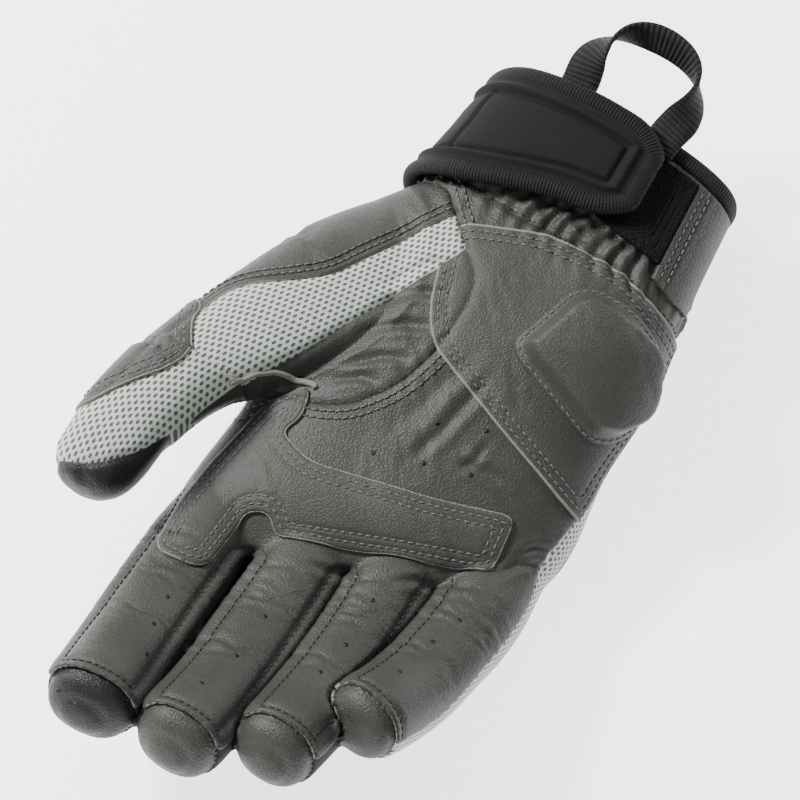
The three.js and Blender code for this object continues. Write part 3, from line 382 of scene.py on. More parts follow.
HEEL_PATCH = [(0.086, 0.362, 6), (-0.149, 0.288, 4), (-0.379, 0.262, 6), (-0.7, 0.3, 2), (-0.76, 0.68, 2),
              (-0.6, 0.676, 4), (-0.366, 0.642, 20), (-0.075, 0.58, 8), (-0.005, 0.52, 10)]
SLIDER = [(112, 0.325, 5), (104, 0.36, 5), (97, 0.5, 4), (102, 0.53, 4), (143, 0.605, 8), (160, 0.57, 9),
          (175, 0.47, 9), (160, 0.35, 8), (135, 0.32, 8)]
CORNER_STEPS = 8


def rounded(corners):
    corners = [(np.array(c[:2], float), c[2]) for c in corners]
    line = []
    for i, (corner, radius) in enumerate(corners):
        before, after = corners[i - 1][0] - corner, corners[(i + 1) % len(corners)][0] - corner
        reach = min(radius, 0.45 * min(np.linalg.norm(before), np.linalg.norm(after)))
        start = corner + before / np.linalg.norm(before) * reach
        end = corner + after / np.linalg.norm(after) * reach
        for t in np.linspace(0, 1, CORNER_STEPS):
            line.append((1 - t) ** 2 * start + 2 * t * (1 - t) * corner + t * t * end)
    return np.array(line)


def inside_distance(flat, outline):
    start, end = outline, np.roll(outline, -1, 0)
    way = end - start
    best = np.full(len(flat), np.inf)
    winding = np.zeros(len(flat), int)
    for a, b, w in zip(start, end, way):
        rel = flat - a
        share = np.clip(rel @ w / max(w @ w, 1e-12), 0, 1)
        best = np.minimum(best, np.linalg.norm(rel - share[:, None] * w, axis=1))
        crosses = (a[1] > flat[:, 1]) != (b[1] > flat[:, 1])
        if w[1]:
            reach = a[0] + (flat[:, 1] - a[1]) / w[1] * w[0]
            winding += crosses & (flat[:, 0] < reach)
    return np.where(winding % 2 == 1, best, -best)


def plan_distance(points, corners):
    outline = rounded([(a * PALM_WIDTH, b * HAND_LENGTH, r) for a, b, r in corners])
    return inside_distance((points - SHIFT)[:, :2], outline)


degree_steps = np.arange(-180.0, 181.0)
girth = travelled(hand_point(0.45, degree_steps))


def unrolled(degrees, along):
    return np.stack([np.interp(degrees, degree_steps, girth), np.asarray(along) * HAND_LENGTH], -1)


slider_line = rounded([(*unrolled(angle, along), r) for angle, along, r in SLIDER])
print("slider outline", np.round(np.ptp(slider_line, axis=0), 1), "mm")

# %% [markdown]
# ## Where each seam runs
# The fingers' front panels end at a share of their width, the palm at a height that rises towards the
# little finger, and both are blended where a finger leaves the hand. The pale strip lies below that seam on
# the outer side.

# %% Distances to every seam
RIM = 5.3
STRIP_START, STRIP_BELOW, STRIP_OUT, STRIP_OUT_ON_FINGER = 0.62, 9, 26, 5
ELSEWHERE = -30.0
TIP_SLANT = 14


def smooth_normals(points):
    return unit(relaxed(normals_of(points, triangles), edges, 3))


def front_panel(places, finger):
    seams = DIGITS[finger]["seams"]
    widening = 0.09 * np.clip((places["at"] - 0.35) / 0.4, 0, 1)
    reach = (np.where(places["u"] > 0, seams[0], seams[1]) + widening) * places["half"]
    return np.minimum(reach - abs(places["u"]), places["v"] - 0.2 * places["tall"])


def beyond_tip(points, finger, slant):
    course, at = courses[finger], DIGITS[finger]["tip"]
    spot, way, up = (read_off(at, course["at"], course[key]) for key in ("path", "way", "up"))
    lean = math.radians(slant)
    return (points - spot) @ (way * math.cos(lean) - up * math.sin(lean))


along, degrees = on_hand["along"], on_hand["degrees"]
side_share = np.clip(0.5 + (points - SHIFT)[:, 0] / PALM_WIDTH + 0.17, 0, 1)
hand_seam = hand("little_seam", along) + (hand("thumb_seam", along) - hand("little_seam", along)) * side_share
palm_side = points[:, 2] - (hand("low", along) + hand("depth", along) * hand_seam) * PALM_DEPTH
finger_side = np.choose(own_finger, [front_panel(on_digit[name], name) for name in FINGERS])
blend = 1 / (1 + np.exp(np.clip((finger_near - on_hand["near"]) / 1.2, -30, 30)))
thumb_near = np.minimum(on_hand["near"], finger_near) - on_digit["thumb"]["near"]
high = points[:, 2] - 0.4 * PALM_DEPTH
little = on_digit["little"]
outer_side = np.where(own_finger == FINGERS.index("little"), -little["u"] - STRIP_OUT_ON_FINGER, -12)
hand_outer = hand("across", along) * PALM_WIDTH - (points - SHIFT)[:, 0] - STRIP_OUT
outer_side = outer_side * blend + hand_outer * (1 - blend)
palm_edge = palm_side * (1 - blend) + finger_side * blend

skin = {
    "x": points,
    "n": smooth_normals(points),
    "open": along * HAND_LENGTH - RIM,
    "thumb": np.maximum(thumb_near, np.minimum(plan_distance(points, THENAR), high)),
    "cap": plan_distance(points, THUMB_CAP),
    "mesh": np.minimum(plan_distance(points, THUMB_MESH), points[:, 2] - 0.76 * PALM_DEPTH),
    "outer": plan_distance(points, THUMB_OUTER),
    "palm": palm_edge,
    "strip": np.minimum(np.minimum(palm_edge + STRIP_BELOW, outer_side),
                        along * HAND_LENGTH - STRIP_START * HAND_LENGTH),
    "strip_side": outer_side,
    "finger_share": blend,
    "patch": np.minimum(plan_distance(points, PALM_PATCH), high),
    "heel": np.minimum(plan_distance(points, HEEL_PATCH), points[:, 2] - 0.58 * PALM_DEPTH),
    "slider": inside_distance(unrolled(degrees, along), slider_line),
    "knuckle": np.minimum(plan_distance(points, KNUCKLE_PATCH), points[:, 2] - 0.5 * PALM_DEPTH),
    "along": along * HAND_LENGTH,
    "thumb_at": on_digit["thumb"]["at"] * DIGITS["thumb"]["length"],
    "thumb_u": on_digit["thumb"]["u"],
}
for name in FINGERS:
    skin[name] = np.where(own_finger == FINGERS.index(name), beyond_tip(points, name, TIP_SLANT), ELSEWHERE)
skin["knuckle"] = np.minimum(skin["knuckle"], thumb_near + 2)
print("seams drawn:", len(skin), "columns")

# %% [markdown]
# ## Folds, gathers and the pull of the seams
# Worn leather creases where the hand bends: across the finger joints, round the ball of the thumb and
# fanning over the palm. At the wrist two rows of elastic gather it into short puckers. All of these are
# real moves of the skin's points along its normals, so they catch the light and show in the outline too. A
# turned seam pulls the leather in.

# %% Moves of the skin
CREASES = [
    ([(-0.205, 0.78), (-0.232, 0.69), (-0.255, 0.57)], 1.6, 0.75),
    ([(-0.11, 0.755), (-0.15, 0.68), (-0.185, 0.56)], 2.2, 0.5),
    ([(-0.33, 0.745), (-0.36, 0.71), (-0.365, 0.665)], 1.2, 0.5),
    ([(-0.46, 0.71), (-0.40, 0.715), (-0.32, 0.735)], 1.3, 0.7),
    ([(-0.50, 0.735), (-0.44, 0.725), (-0.38, 0.73)], 1.0, 0.45),
    ([(-0.02, 0.69), (0.04, 0.70), (0.11, 0.735)], 1.3, 0.9),
    ([(-0.05, 0.62), (0.03, 0.65), (0.1, 0.70)], 1.2, 0.8),
    ([(-0.05, 0.55), (0.03, 0.575), (0.1, 0.625)], 1.4, 1.0),
    ([(-0.03, 0.48), (0.05, 0.51), (0.12, 0.57)], 1.3, 0.8),
    ([(0.02, 0.42), (0.08, 0.46), (0.13, 0.52)], 1.3, 0.8),
    ([(-0.48, 0.93), (-0.42, 0.945), (-0.36, 0.985)], 1.1, 0.7),
    ([(-0.25, 0.99), (-0.2, 1.03), (-0.12, 1.05)], 1.1, 0.7),
    ([(-0.66, 0.78), (-0.6, 0.82), (-0.57, 0.87)], 1.1, 0.8),
    ([(-0.68, 0.74), (-0.62, 0.77), (-0.58, 0.82)], 1.0, 0.7),
]
FINGER_CREASES = [(0.09, 0.35), (0.18, 0.3), (0.25, 0.55), (0.32, 0.25), (0.52, 0.45), (0.58, 0.25)]
GATHER_ROWS = (33.0, 42.5)
VALLEY_DEPTH = 4.2


def line_distance(flat, line):
    best = np.full(len(flat), np.inf)
    travel = np.zeros(len(flat))
    lengths = np.linalg.norm(np.diff(line, axis=0), axis=1)
    whole, gone = lengths.sum(), 0.0
    for a, b, length in zip(line[:-1], line[1:], lengths):
        w = b - a
        share = np.clip((flat - a) @ w / (w @ w), 0, 1)
        gap = np.linalg.norm(flat - a - share[:, None] * w, axis=1)
        closer = gap < best
        best = np.where(closer, gap, best)
        travel = np.where(closer, (gone + share * length) / whole, travel)
        gone += length
    return best, travel


def crease(flat, line, width, depth):
    gap, travel = line_distance(flat, np.array(line, float) * (PALM_WIDTH, HAND_LENGTH))
    taper = np.sin(np.pi * np.clip(travel, 0.02, 0.98)) ** 0.6
    valley = -depth * np.exp(-(gap / width) ** 2)
    bank = 0.5 * depth * np.exp(-((gap - 2.2 * width) / width) ** 2)
    return (valley + bank) * taper


def ripples(points, turn, across_scale, size, seed):
    c, s = math.cos(math.radians(turn)), math.sin(math.radians(turn))
    frame_of_folds = np.array([(c, s, 0), (-s * across_scale, c * across_scale, 0), (0, 0, 0.6)])
    moved = points @ frame_of_folds.T / size
    return np.array([noise.noise(Vector(p) + Vector((seed, 0, 0))) for p in moved])


def bump_at(value, centre, width):
    return np.exp(-((value - centre) / width) ** 2)


flat = (points - SHIFT)[:, :2]
upper = np.clip(high / 6, 0, 1)
wander = ripples(points, 0, 1, 14, 5)
move = np.zeros(len(points))
for line, width, depth in CREASES:
    move += crease(flat + wander[:, None] * 1.5, line, width, depth) * upper
wrinkle_mask = np.clip(ripples(points, 30, 0.8, 24, 9) * 2.2 + 0.15, 0, 1) * upper
wrinkles = 1 - 2 * abs(ripples(points, 50, 0.3, 4.6, 7))
finer = 1 - 2 * abs(ripples(points, 38, 0.35, 2.4, 11))
move += (0.42 * wrinkles + 0.2 * finer) * wrinkle_mask * (1 - skin["finger_share"])
for name in FINGERS:
    places, length = on_digit[name], DIGITS[name]["length"]
    mine = (own_finger == FINGERS.index(name)) * skin["finger_share"]
    inner = np.clip(places["v"] / 6, 0, 1) * mine
    across = places["u"] / places["half"]
    for centre, depth in FINGER_CREASES:
        bent = places["at"] - centre - 0.02 * across ** 2 - 0.012 * np.sin(places["u"] * 0.5 + centre * 50)
        fade = np.clip(1.15 - abs(across - 0.3 * math.sin(centre * 90)), 0, 1)
        fold = bump_at(bent * length, 0, 1.3) - 0.3 * bump_at(bent * length, 2.4, 1.5)
        move -= inner * fade * depth * fold
    near_joint = bump_at(places["at"], 0.22, 0.14) + 0.6 * bump_at(places["at"], 0.54, 0.08)
    small = 1 - 2 * abs(ripples(np.stack([places["at"] * length, places["u"] * 0.4, places["v"] * 0.5], -1),
                                0, 1, 2.6, 13))
    move += inner * near_joint * 0.3 * small
    full = np.sin(np.clip((places["at"] - 0.22) / 0.3, 0, 1) * np.pi)
    move += inner * 0.6 * full
    beyond = skin[name]
    cap = (beyond > 0) * mine
    move -= cap * (0.2 + 0.6 * np.exp(-(beyond / 2) ** 2) + 0.4 * bump_at(beyond, 6.5, 0.8))
girth_at = np.interp(degrees, degree_steps, girth)
wrist_side = upper * (skin["thumb"] < 0)
gather_zone = bump_at(skin["along"], 37, 8.5) * wrist_side
pucker = np.sin(girth_at * 2 * np.pi / 6.2 + 1.6 * np.sin(skin["along"] * 0.2) + 2.2 * wander)
uneven = 0.55 + 0.45 * np.clip(1.4 * ripples(points, 0, 1, 11, 21) + 0.5, 0, 1)
calm = 1 - 0.7 * np.clip((degrees - 128) / 18, 0, 1)
move += gather_zone * calm * (1.05 * pucker * uneven + 0.6 * wrinkles)
for row in GATHER_ROWS:
    move -= 1.1 * calm * bump_at(skin["along"] + 2.5 * wander, row, 1.4) * wrist_side * (skin["thumb"] < -2)
move += 0.5 * ripples(points, 0, 1, 26, 3)
for key in ("thumb", "cap", "mesh"):
    inside = skin["thumb"] > -1.5 if key != "thumb" else 1
    move -= 0.7 * np.exp(-(skin[key] / 1.1) ** 2) * inside
valley = bump_at(second_near - finger_near, 0, 1.25) * np.clip((on_hand["near"] - 0.5) / 3, 0, 1)
own_height = np.choose(own_finger, [on_digit[name]["v"] for name in FINGERS])
points[:, 2] -= VALLEY_DEPTH * valley * np.clip(own_height / 4, 0, 1)
points = points + skin["n"] * move[:, None]
points[:, 2] = np.maximum(points[:, 2], 0.0)
skin["x"] = points
skin["n"] = smooth_normals(points)
print("skin moved by", round(float(move.min()), 2), "to", round(float(move.max()), 2), "mm")

# %% [markdown]
# ## Cutting along a seam
# To cut cleanly, the points nearest to a seam slide along the net until they lie on it. Every triangle is
# then on one side or the other, so a panel ends in a smooth line. Everything that is known of a point
# slides with it.

# %% Snapping and cutting
def snapped(skin, triangles, key):
    value = skin[key]
    a, b = edges_of(triangles).T
    cross = value[a] * value[b] < 0
    a, b = a[cross], b[cross]
    swap = abs(value[a]) > abs(value[b])
    near, far = np.where(swap, b, a), np.where(swap, a, b)
    share = value[near] / (value[near] - value[far])
    count = np.bincount(near, minlength=len(value))
    there = count > 0
    result = {}
    for name, column in skin.items():
        step = (column[far] - column[near]) * (share[:, None] if column.ndim > 1 else share)
        total = np.zeros_like(column)
        np.add.at(total, near, step)
        new = column.copy()
        new[there] += (total[there].T / count[there]).T
        result[name] = new
    result[key][there] = 0
    return result


def keep(skin, triangles, key, sign=1):
    return triangles[skin[key][triangles].sum(1) * sign > 0]


for key in ("open", "thumb", "cap", "mesh", "outer", *FINGERS, "palm", "strip"):
    skin = snapped(skin, triangles, key)
whole = keep(skin, triangles, "open")
panels = {}
thumb_part, rest = keep(skin, whole, "thumb"), keep(skin, whole, "thumb", -1)
panels["thumb_tip"] = keep(skin, thumb_part, "cap")
thumb_part = keep(skin, thumb_part, "cap", -1)
panels["thumb_mesh_panel"] = keep(skin, thumb_part, "mesh")
thumb_part = keep(skin, thumb_part, "mesh", -1)
panels["thumb_outer_panel"] = keep(skin, thumb_part, "outer")
panels["thumb_inner_panel"] = keep(skin, thumb_part, "outer", -1)
for name in FINGERS:
    panels[name + "_tip"] = keep(skin, rest, name)
    rest = keep(skin, rest, name, -1)
panels["palm_leather"] = keep(skin, rest, "palm")
rest = keep(skin, rest, "palm", -1)
panels["side_strip"] = keep(skin, rest, "strip")
panels["back_panel"] = keep(skin, rest, "strip", -1)
print("panels", {name: len(part) for name, part in panels.items()})

# %% [markdown]
# ## Lines to sew along
# A stitch row runs at an even distance inside a panel's edge. Where the distance passes that value between
# two corners of a triangle, the row crosses its side, and joining these crossings from triangle to triangle
# gives the row.

# %% Contours on a panel
def contours(skin, part, key, level, shortest=6.0):
    value = skin[key] - level
    signs = value[part] > 0
    mixed = part[signs.any(1) & ~signs.all(1)]
    links, spots = {}, {}
    for triangle in mixed:
        ends = []
        for i, j in ((0, 1), (1, 2), (2, 0)):
            a, b = sorted((int(triangle[i]), int(triangle[j])))
            if (value[a] > 0) != (value[b] > 0):
                share = value[a] / (value[a] - value[b])
                spots[(a, b)] = tuple(skin[c][a] * (1 - share) + skin[c][b] * share for c in ("x", "n"))
                ends.append((a, b))
        if len(ends) == 2:
            links.setdefault(ends[0], []).append(ends[1])
            links.setdefault(ends[1], []).append(ends[0])
    lines, used = [], set()
    for start in sorted(links, key=lambda k: (len(links[k]), k)):
        if start in used:
            continue
        chain, here = [start], start
        used.add(start)
        while True:
            onward = [k for k in links[here] if k not in used]
            if not onward:
                break
            here = onward[0]
            used.add(here)
            chain.append(here)
        closed = len(chain) > 3 and start in links[chain[-1]]
        if closed:
            chain.append(start)
        line = np.array([spots[k][0] for k in chain]), np.array([spots[k][1] for k in chain])
        if np.linalg.norm(np.diff(line[0], axis=0), axis=1).sum() > shortest:
            lines.append(line)
    return lines


def evenly(line, pitch):
    places, normals = line
    for _ in range(3):
        if len(places) > 4:
            places = np.vstack([places[:1], (places[:-2] + 2 * places[1:-1] + places[2:]) / 4, places[-1:]])
    gone = travelled(places)
    at = np.arange(pitch / 2, gone[-1], pitch)
    return read_off(at, gone, places), unit(read_off(at, gone, normals))


print("rows can be drawn on", len(panels), "panels")

# %% [markdown]
# ## Materials, written as arithmetic
# A finish is a little sum of noise, distance and colour. A small class wraps a socket, so that sums are
# written as ordinary arithmetic and each operation adds its own node.

# %% Shader arithmetic
class Wire:
    def __init__(self, finish, socket):
        self.finish, self.socket = finish, socket

    def sum(self, operation, *values):
        return self.finish.add("ShaderNodeMath", {"operation": operation}, *values)

    def __add__(self, other):
        return self.sum("ADD", self, other)

    def __sub__(self, other):
        return self.sum("SUBTRACT", self, other)

    def __rsub__(self, other):
        return self.sum("SUBTRACT", other, self)

    def __mul__(self, other):
        return self.sum("MULTIPLY", self, other)

    def __truediv__(self, other):
        return self.sum("DIVIDE", self, other)

    def __pow__(self, other):
        return self.sum("POWER", self, other)

    def modulo(self, other):
        return self.sum("FLOORED_MODULO", self, other)

    def floor(self):
        return self.sum("FLOOR", self)

    def sine(self):
        return self.sum("SINE", self)

    def between(self, low, high):
        settings = {"interpolation_type": "SMOOTHSTEP"}
        return self.finish.add("ShaderNodeMapRange", settings, self, low, high, 0.0, 1.0)

    __radd__, __rmul__ = __add__, __mul__


class Finish:
    def __init__(self, name):
        self.material = bpy.data.materials.new(name)
        self.material.use_nodes = True
        self.tree = self.material.node_tree
        self.shader = self.tree.nodes["Principled BSDF"]
        self.place = self.add("ShaderNodeTexCoord", {}, output="Object").scaled(1 / MM)

    def add(self, kind, settings, *values, output=0, named=None):
        node = self.tree.nodes.new(kind)
        for key, value in settings.items():
            setattr(node, key, value)
        for key, value in [*enumerate(values), *(named or {}).items()]:
            if isinstance(value, Wire):
                self.tree.links.new(value.socket, node.inputs[key])
            else:
                node.inputs[key].default_value = value
        wire = Vectors if kind in ("ShaderNodeTexCoord", "ShaderNodeVectorMath", "ShaderNodeUVMap") else Wire
        return wire(self, node.outputs[output])

    def mixed(self, share, low, high):
        return self.add("ShaderNodeMix", {"data_type": "RGBA"}, share, output=2, named={6: low, 7: high})

    def noise(self, vector, scale, detail=3.0):
        return self.add("ShaderNodeTexNoise", {}, named={"Vector": vector, "Scale": scale, "Detail": detail})

    def cells(self, vector, scale):
        return self.add("ShaderNodeTexVoronoi", {}, named={"Vector": vector, "Scale": scale})

    def bump(self, height, millimetres):
        sockets = {"Height": height, "Distance": millimetres * MM, "Strength": 1.0}
        node = self.add("ShaderNodeBump", {}, named=sockets)
        self.tree.links.new(node.socket, self.shader.inputs["Normal"])

    def set(self, **sockets):
        for key, value in sockets.items():
            socket = self.shader.inputs[key.replace("_", " ")]
            if isinstance(value, Wire):
                self.tree.links.new(value.socket, socket)
            else:
                socket.default_value = value


class Vectors(Wire):
    def scaled(self, factor):
        return self.finish.add("ShaderNodeVectorMath", {"operation": "SCALE"}, self, named={"Scale": factor})

    def part(self, index):
        return self.finish.add("ShaderNodeSeparateXYZ", {}, self, output=index)


print("shader arithmetic ready")

# %% [markdown]
# ## Leather
# Glove leather has a fine pebbled grain of about a millimetre, a satin finish that is glossier on the
# pebbles than in the gaps, and a colour that wanders a little from patch to patch. Cells give the pebbles
# and slow noise the rest.

# %% Leather finishes
def leather(name, dark, light, gloss, grain=1.0):
    finish = Finish(name)
    place = finish.place
    warp = finish.noise(place, 0.35, 2.0)
    pebbles = finish.cells(place, 1.35 / grain).between(0.05, 0.75)
    fine = finish.noise(place, 2.2, 3.0)
    cloud = finish.noise(place, 0.05, 3.0)
    height = (1 - pebbles) * 0.6 + fine * 0.4 + warp * 0.4
    shade = (cloud * 0.6 + (1 - pebbles) * 0.15 + fine * 0.25).between(0.3, 0.85)
    finish.set(Base_Color=finish.mixed(shade, (*dark, 1), (*light, 1)), Specular_IOR_Level=0.4)
    finish.set(Roughness=gloss + fine * 0.1 + pebbles * 0.1)
    finish.bump(height, 0.15)
    return finish.material


leather_grey = leather("leather_grey", (0.028, 0.0305, 0.0255), (0.052, 0.0565, 0.048), 0.44)
leather_patch = leather("leather_patch", (0.032, 0.0348, 0.0295), (0.058, 0.063, 0.054), 0.44, 0.8)
# This black leather also colours the discs of painted shade in the needle holes and perforations.
leather_black_and_hole_shade = leather("leather_black_and_hole_shade", (0.003, 0.003, 0.003), (0.006, 0.0058, 0.006), 0.4, 0.8)


def raw_leather():
    finish = Finish("raw_edge")
    fibres = finish.noise(finish.place, 1.4, 4.0)
    finish.set(Base_Color=finish.mixed(fibres, (0.10, 0.097, 0.085, 1), (0.27, 0.26, 0.23, 1)))
    finish.set(Roughness=0.85)
    finish.bump(fibres, 0.3)
    return finish.material


raw_edge = raw_leather()
print("leather finishes made")

# %% [markdown]
# ## Cloths
# The thumb's mesh is a spacer knit: rows of oval holes, every second row set over by half a hole. The strap
# is neoprene with a smooth knit face, its binding and the loop are ribbed tape, the pad is a mat of tiny
# hooks and the back is a plain dark cloth. The holes and the ribs follow the cloth, so they read each piece's
# own UV map, which is drawn in millimetres; the other cloths take their grain from object coordinates.

# %% Cloth finishes
HOLES_ACROSS, HOLES_DOWN = 2.5, 1.35


def mesh_knit(name, pale, hole_shade):
    finish = Finish(name)
    across, down = HOLES_ACROSS, HOLES_DOWN
    weave = finish.add("ShaderNodeUVMap", {"uv_map": "UVMap"})
    u, v = weave.part(0), weave.part(1)
    row = (v / down).floor()
    du = (u + row.modulo(2.0) * (across / 2)).modulo(across) - across / 2
    dv = v.modulo(down) - down / 2
    reach = ((du / (0.27 * across)) ** 2 + (dv / (0.29 * down)) ** 2) ** 0.5
    # The holes are not cut: they are painted a dark colour, the shade one would see inside them.
    hole = 1 - reach.between(0.8, 1.25)
    yarn = finish.noise(finish.place, 2.4, 2.0)
    cloth = finish.mixed(yarn, (*(0.86 * c for c in pale), 1), (*pale, 1))
    finish.set(Base_Color=finish.mixed(hole, cloth, (*hole_shade, 1)), Roughness=0.85, Specular_IOR_Level=0.25)
    finish.bump((1 - hole) * 0.8 + yarn * 0.2, 0.5)
    return finish.material


def tape(name, dark, light, pitch):
    finish = Finish(name)
    weave = finish.add("ShaderNodeUVMap", {"uv_map": "UVMap"})
    rib = (weave.part(0) * (2 * math.pi / pitch)).sine() * 0.5 + 0.5
    cross = (weave.part(1) * (2 * math.pi / 1.1)).sine() * 0.5 + 0.5
    fuzz = finish.noise(finish.place, 1.8, 3.0)
    finish.set(Base_Color=finish.mixed(rib * 0.6 + fuzz * 0.4, (*dark, 1), (*light, 1)), Roughness=0.75)
    finish.set(Specular_IOR_Level=0.2)
    finish.bump(rib * 0.8 + cross * 0.15 + fuzz * 0.2, 0.35)
    return finish.material


def plain_cloth(name, dark, light, size, depth, rough=0.85):
    finish = Finish(name)
    knit = finish.cells(finish.place, size)
    fuzz = finish.noise(finish.place, size * 1.7, 4.0)
    slow = finish.noise(finish.place, 0.08, 2.0)
    tone = knit * 0.4 + fuzz * 0.4 + slow * 0.3
    finish.set(Base_Color=finish.mixed(tone, (*dark, 1), (*light, 1)))
    finish.set(Roughness=rough, Specular_IOR_Level=0.18)
    finish.bump(knit * 0.5 + fuzz * 0.5, depth)
    return finish.material


thumb_mesh = mesh_knit("thumb_mesh", (0.52, 0.57, 0.515), (0.10, 0.11, 0.10))
neoprene = plain_cloth("neoprene", (0.005, 0.005, 0.0053), (0.0115, 0.0115, 0.012), 2.6, 0.12)
back_cloth = plain_cloth("back_cloth", (0.012, 0.013, 0.013), (0.030, 0.032, 0.031), 1.6, 0.25)
hook_mat = plain_cloth("hook_mat", (0.0015, 0.0014, 0.0013), (0.013, 0.012, 0.0105), 1.3, 0.9, 1.0)
binding_tape = tape("binding_tape", (0.0045, 0.0045, 0.005), (0.0125, 0.0125, 0.013), 0.95)
webbing_tape = tape("webbing_tape", (0.004, 0.004, 0.0045), (0.024, 0.024, 0.025), 1.5)


def thread(name, colour):
    finish = Finish(name)
    twist = finish.noise(finish.place, 3.5, 2.0)
    finish.set(Base_Color=finish.mixed(twist, (*(0.6 * c for c in colour), 1), (*colour, 1)), Roughness=0.6)
    return finish.material


grey_thread = thread("grey_thread", (0.125, 0.13, 0.125))
dark_thread = thread("dark_thread", (0.016, 0.016, 0.016))
print("cloth and thread finishes made")

# %% [markdown]
# ## Panels with a thickness
# A panel is cut from the skin and doubled: the upper sheet lies on the skin and the lower one inside it,
# with a rim between them all round. On a raw edge the rim shows the pale inside of the hide, so it has its
# own finish.

# %% Building a panel
def put_together(name, places, faces, looks, look_of_face=None, uv=None):
    mesh = bpy.data.meshes.new(name)
    mesh.from_pydata((places * MM).tolist(), [], faces)
    for look in looks:
        mesh.materials.append(look)
    if look_of_face is not None:
        mesh.polygons.foreach_set("material_index", look_of_face)
    mesh.polygons.foreach_set("use_smooth", np.ones(len(mesh.polygons), bool))
    if uv is not None:
        corners = np.zeros(len(mesh.loops), np.int32)
        mesh.loops.foreach_get("vertex_index", corners)
        mesh.uv_layers.new(name="UVMap").data.foreach_set("uv", uv[corners].astype(np.float32).ravel())
    mesh.update()
    piece = bpy.data.objects.new(name, mesh)
    bpy.context.collection.objects.link(piece)
    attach(piece, "root")
    return piece


def shell(name, skin, part, low, high, look, rim_look=None, uv=None):
    used, local = np.unique(part, return_inverse=True)
    local = local.reshape(-1, 3)
    spread = lambda height: np.broadcast_to(np.asarray(height, float), len(skin["x"]))[used][:, None]
    top = skin["x"][used] + skin["n"][used] * spread(high)
    under = skin["x"][used] + skin["n"][used] * spread(low)
    count = len(used)
    sides = np.concatenate([local[:, [0, 1]], local[:, [1, 2]], local[:, [2, 0]]])
    known = set(map(tuple, sides.tolist()))
    rim = [(b, a, a + count, b + count) for a, b in sides.tolist() if (b, a) not in known]
    faces = local.tolist() + (local[:, ::-1] + count).tolist() + rim
    places = np.concatenate([top, under])
    places[:, 2] = np.maximum(places[:, 2], 0.0)
    looks = [look, rim_look or look]
    index = np.concatenate([np.zeros(2 * len(local), int), np.ones(len(rim), int)])
    both = None if uv is None else np.concatenate([uv[used], uv[used]])
    return put_together(name, places, faces, looks, index, both)


def sweep(name, lines, width, height, lift, look):
    section = np.array([(-0.5, 0), (-0.5, 0.7), (-0.25, 1), (0.25, 1), (0.5, 0.7), (0.5, 0)])
    places, faces, uv, base = [], [], [], 0
    for line in lines:
        spots, normals = evenly(line, 0.8)
        if len(spots) < 3:
            continue
        side = unit(np.cross(np.gradient(spots, axis=0), normals))
        for spot, normal, out, travel in zip(spots, normals, side, travelled(spots)):
            for u, v in section:
                places.append(spot + out * u * width + normal * (lift + v * height))
                uv.append((travel, u * width))
        count, rows = len(section), len(spots)
        for row in range(rows - 1):
            for i in range(count):
                j = (i + 1) % count
                a, b = base + row * count, base + (row + 1) * count
                faces.append((a + i, b + i, b + j, a + j))
        faces.append(tuple(base + i for i in range(count)))
        faces.append(tuple(base + (rows - 1) * count + i for i in range(count))[::-1])
        base += rows * count
    return put_together(name, np.array(places), faces, [look], uv=np.array(uv))


def stitches(name, lines, look, pitch, length=1.75, radius=0.27, lift=0.1):
    turn = np.radians(np.arange(6) * 60)
    rings = [(-0.5, -0.35, 0.35), (-0.36, 0.35, 0.9), (0.0, 0.62, 1.0), (0.36, 0.35, 0.9), (0.5, -0.35, 0.35)]
    model = np.array([(t, math.cos(a) * r, math.sin(a) * r + rise) for t, rise, r in rings for a in turn])
    count = len(model)
    faces = [tuple(range(6))[::-1], tuple(count - 6 + i for i in range(6))]
    faces += [(k * 6 + i, k * 6 + (i + 1) % 6, k * 6 + 6 + (i + 1) % 6, k * 6 + 6 + i) for k in range(4)
              for i in range(6)]
    places, all_faces = [], []
    for line in lines:
        spots, normals = evenly(line, pitch)
        if len(spots) < 3:
            continue
        way = unit(np.gradient(spots, axis=0))
        side = np.cross(normals, way)
        for spot, normal, ahead, out in zip(spots, normals, way, side):
            base = len(places) * count
            places.append(spot + normal * lift + ahead * model[:, :1] * length + out * model[:, 1:2] * radius
                          + normal * model[:, 2:] * radius)
            all_faces += [tuple(base + i for i in face) for face in faces]
    return put_together(name, np.concatenate(places), all_faces, [look])


print("panel tools ready")

# %% [markdown]
# ## The panels of the glove
# The grey leather panels, the black caps of the index finger and thumb, the pale mesh and the dark cloth of
# the back. The front panels of the fingers end in a raised lip beside their stitches, where the cut edge
# shows.

# %% Leather, mesh and back
WALL = 1.7
LIP, LIP_WIDTH, LIP_ROW = 1.0, 1.5, 2.5
mesh_uv = np.stack([skin["thumb_at"], skin["thumb_u"] + 60], -1)
back_uv = np.stack([skin["along"] + 200, skin["x"][:, 2] + 60], -1)


def lip_on(edge, share):
    rim = np.exp(-(np.clip(edge, 0, None) / LIP_WIDTH) ** 2)
    groove = np.exp(-((edge - LIP_ROW) / 0.9) ** 2)
    return share * (LIP * rim - 0.55 * groove)


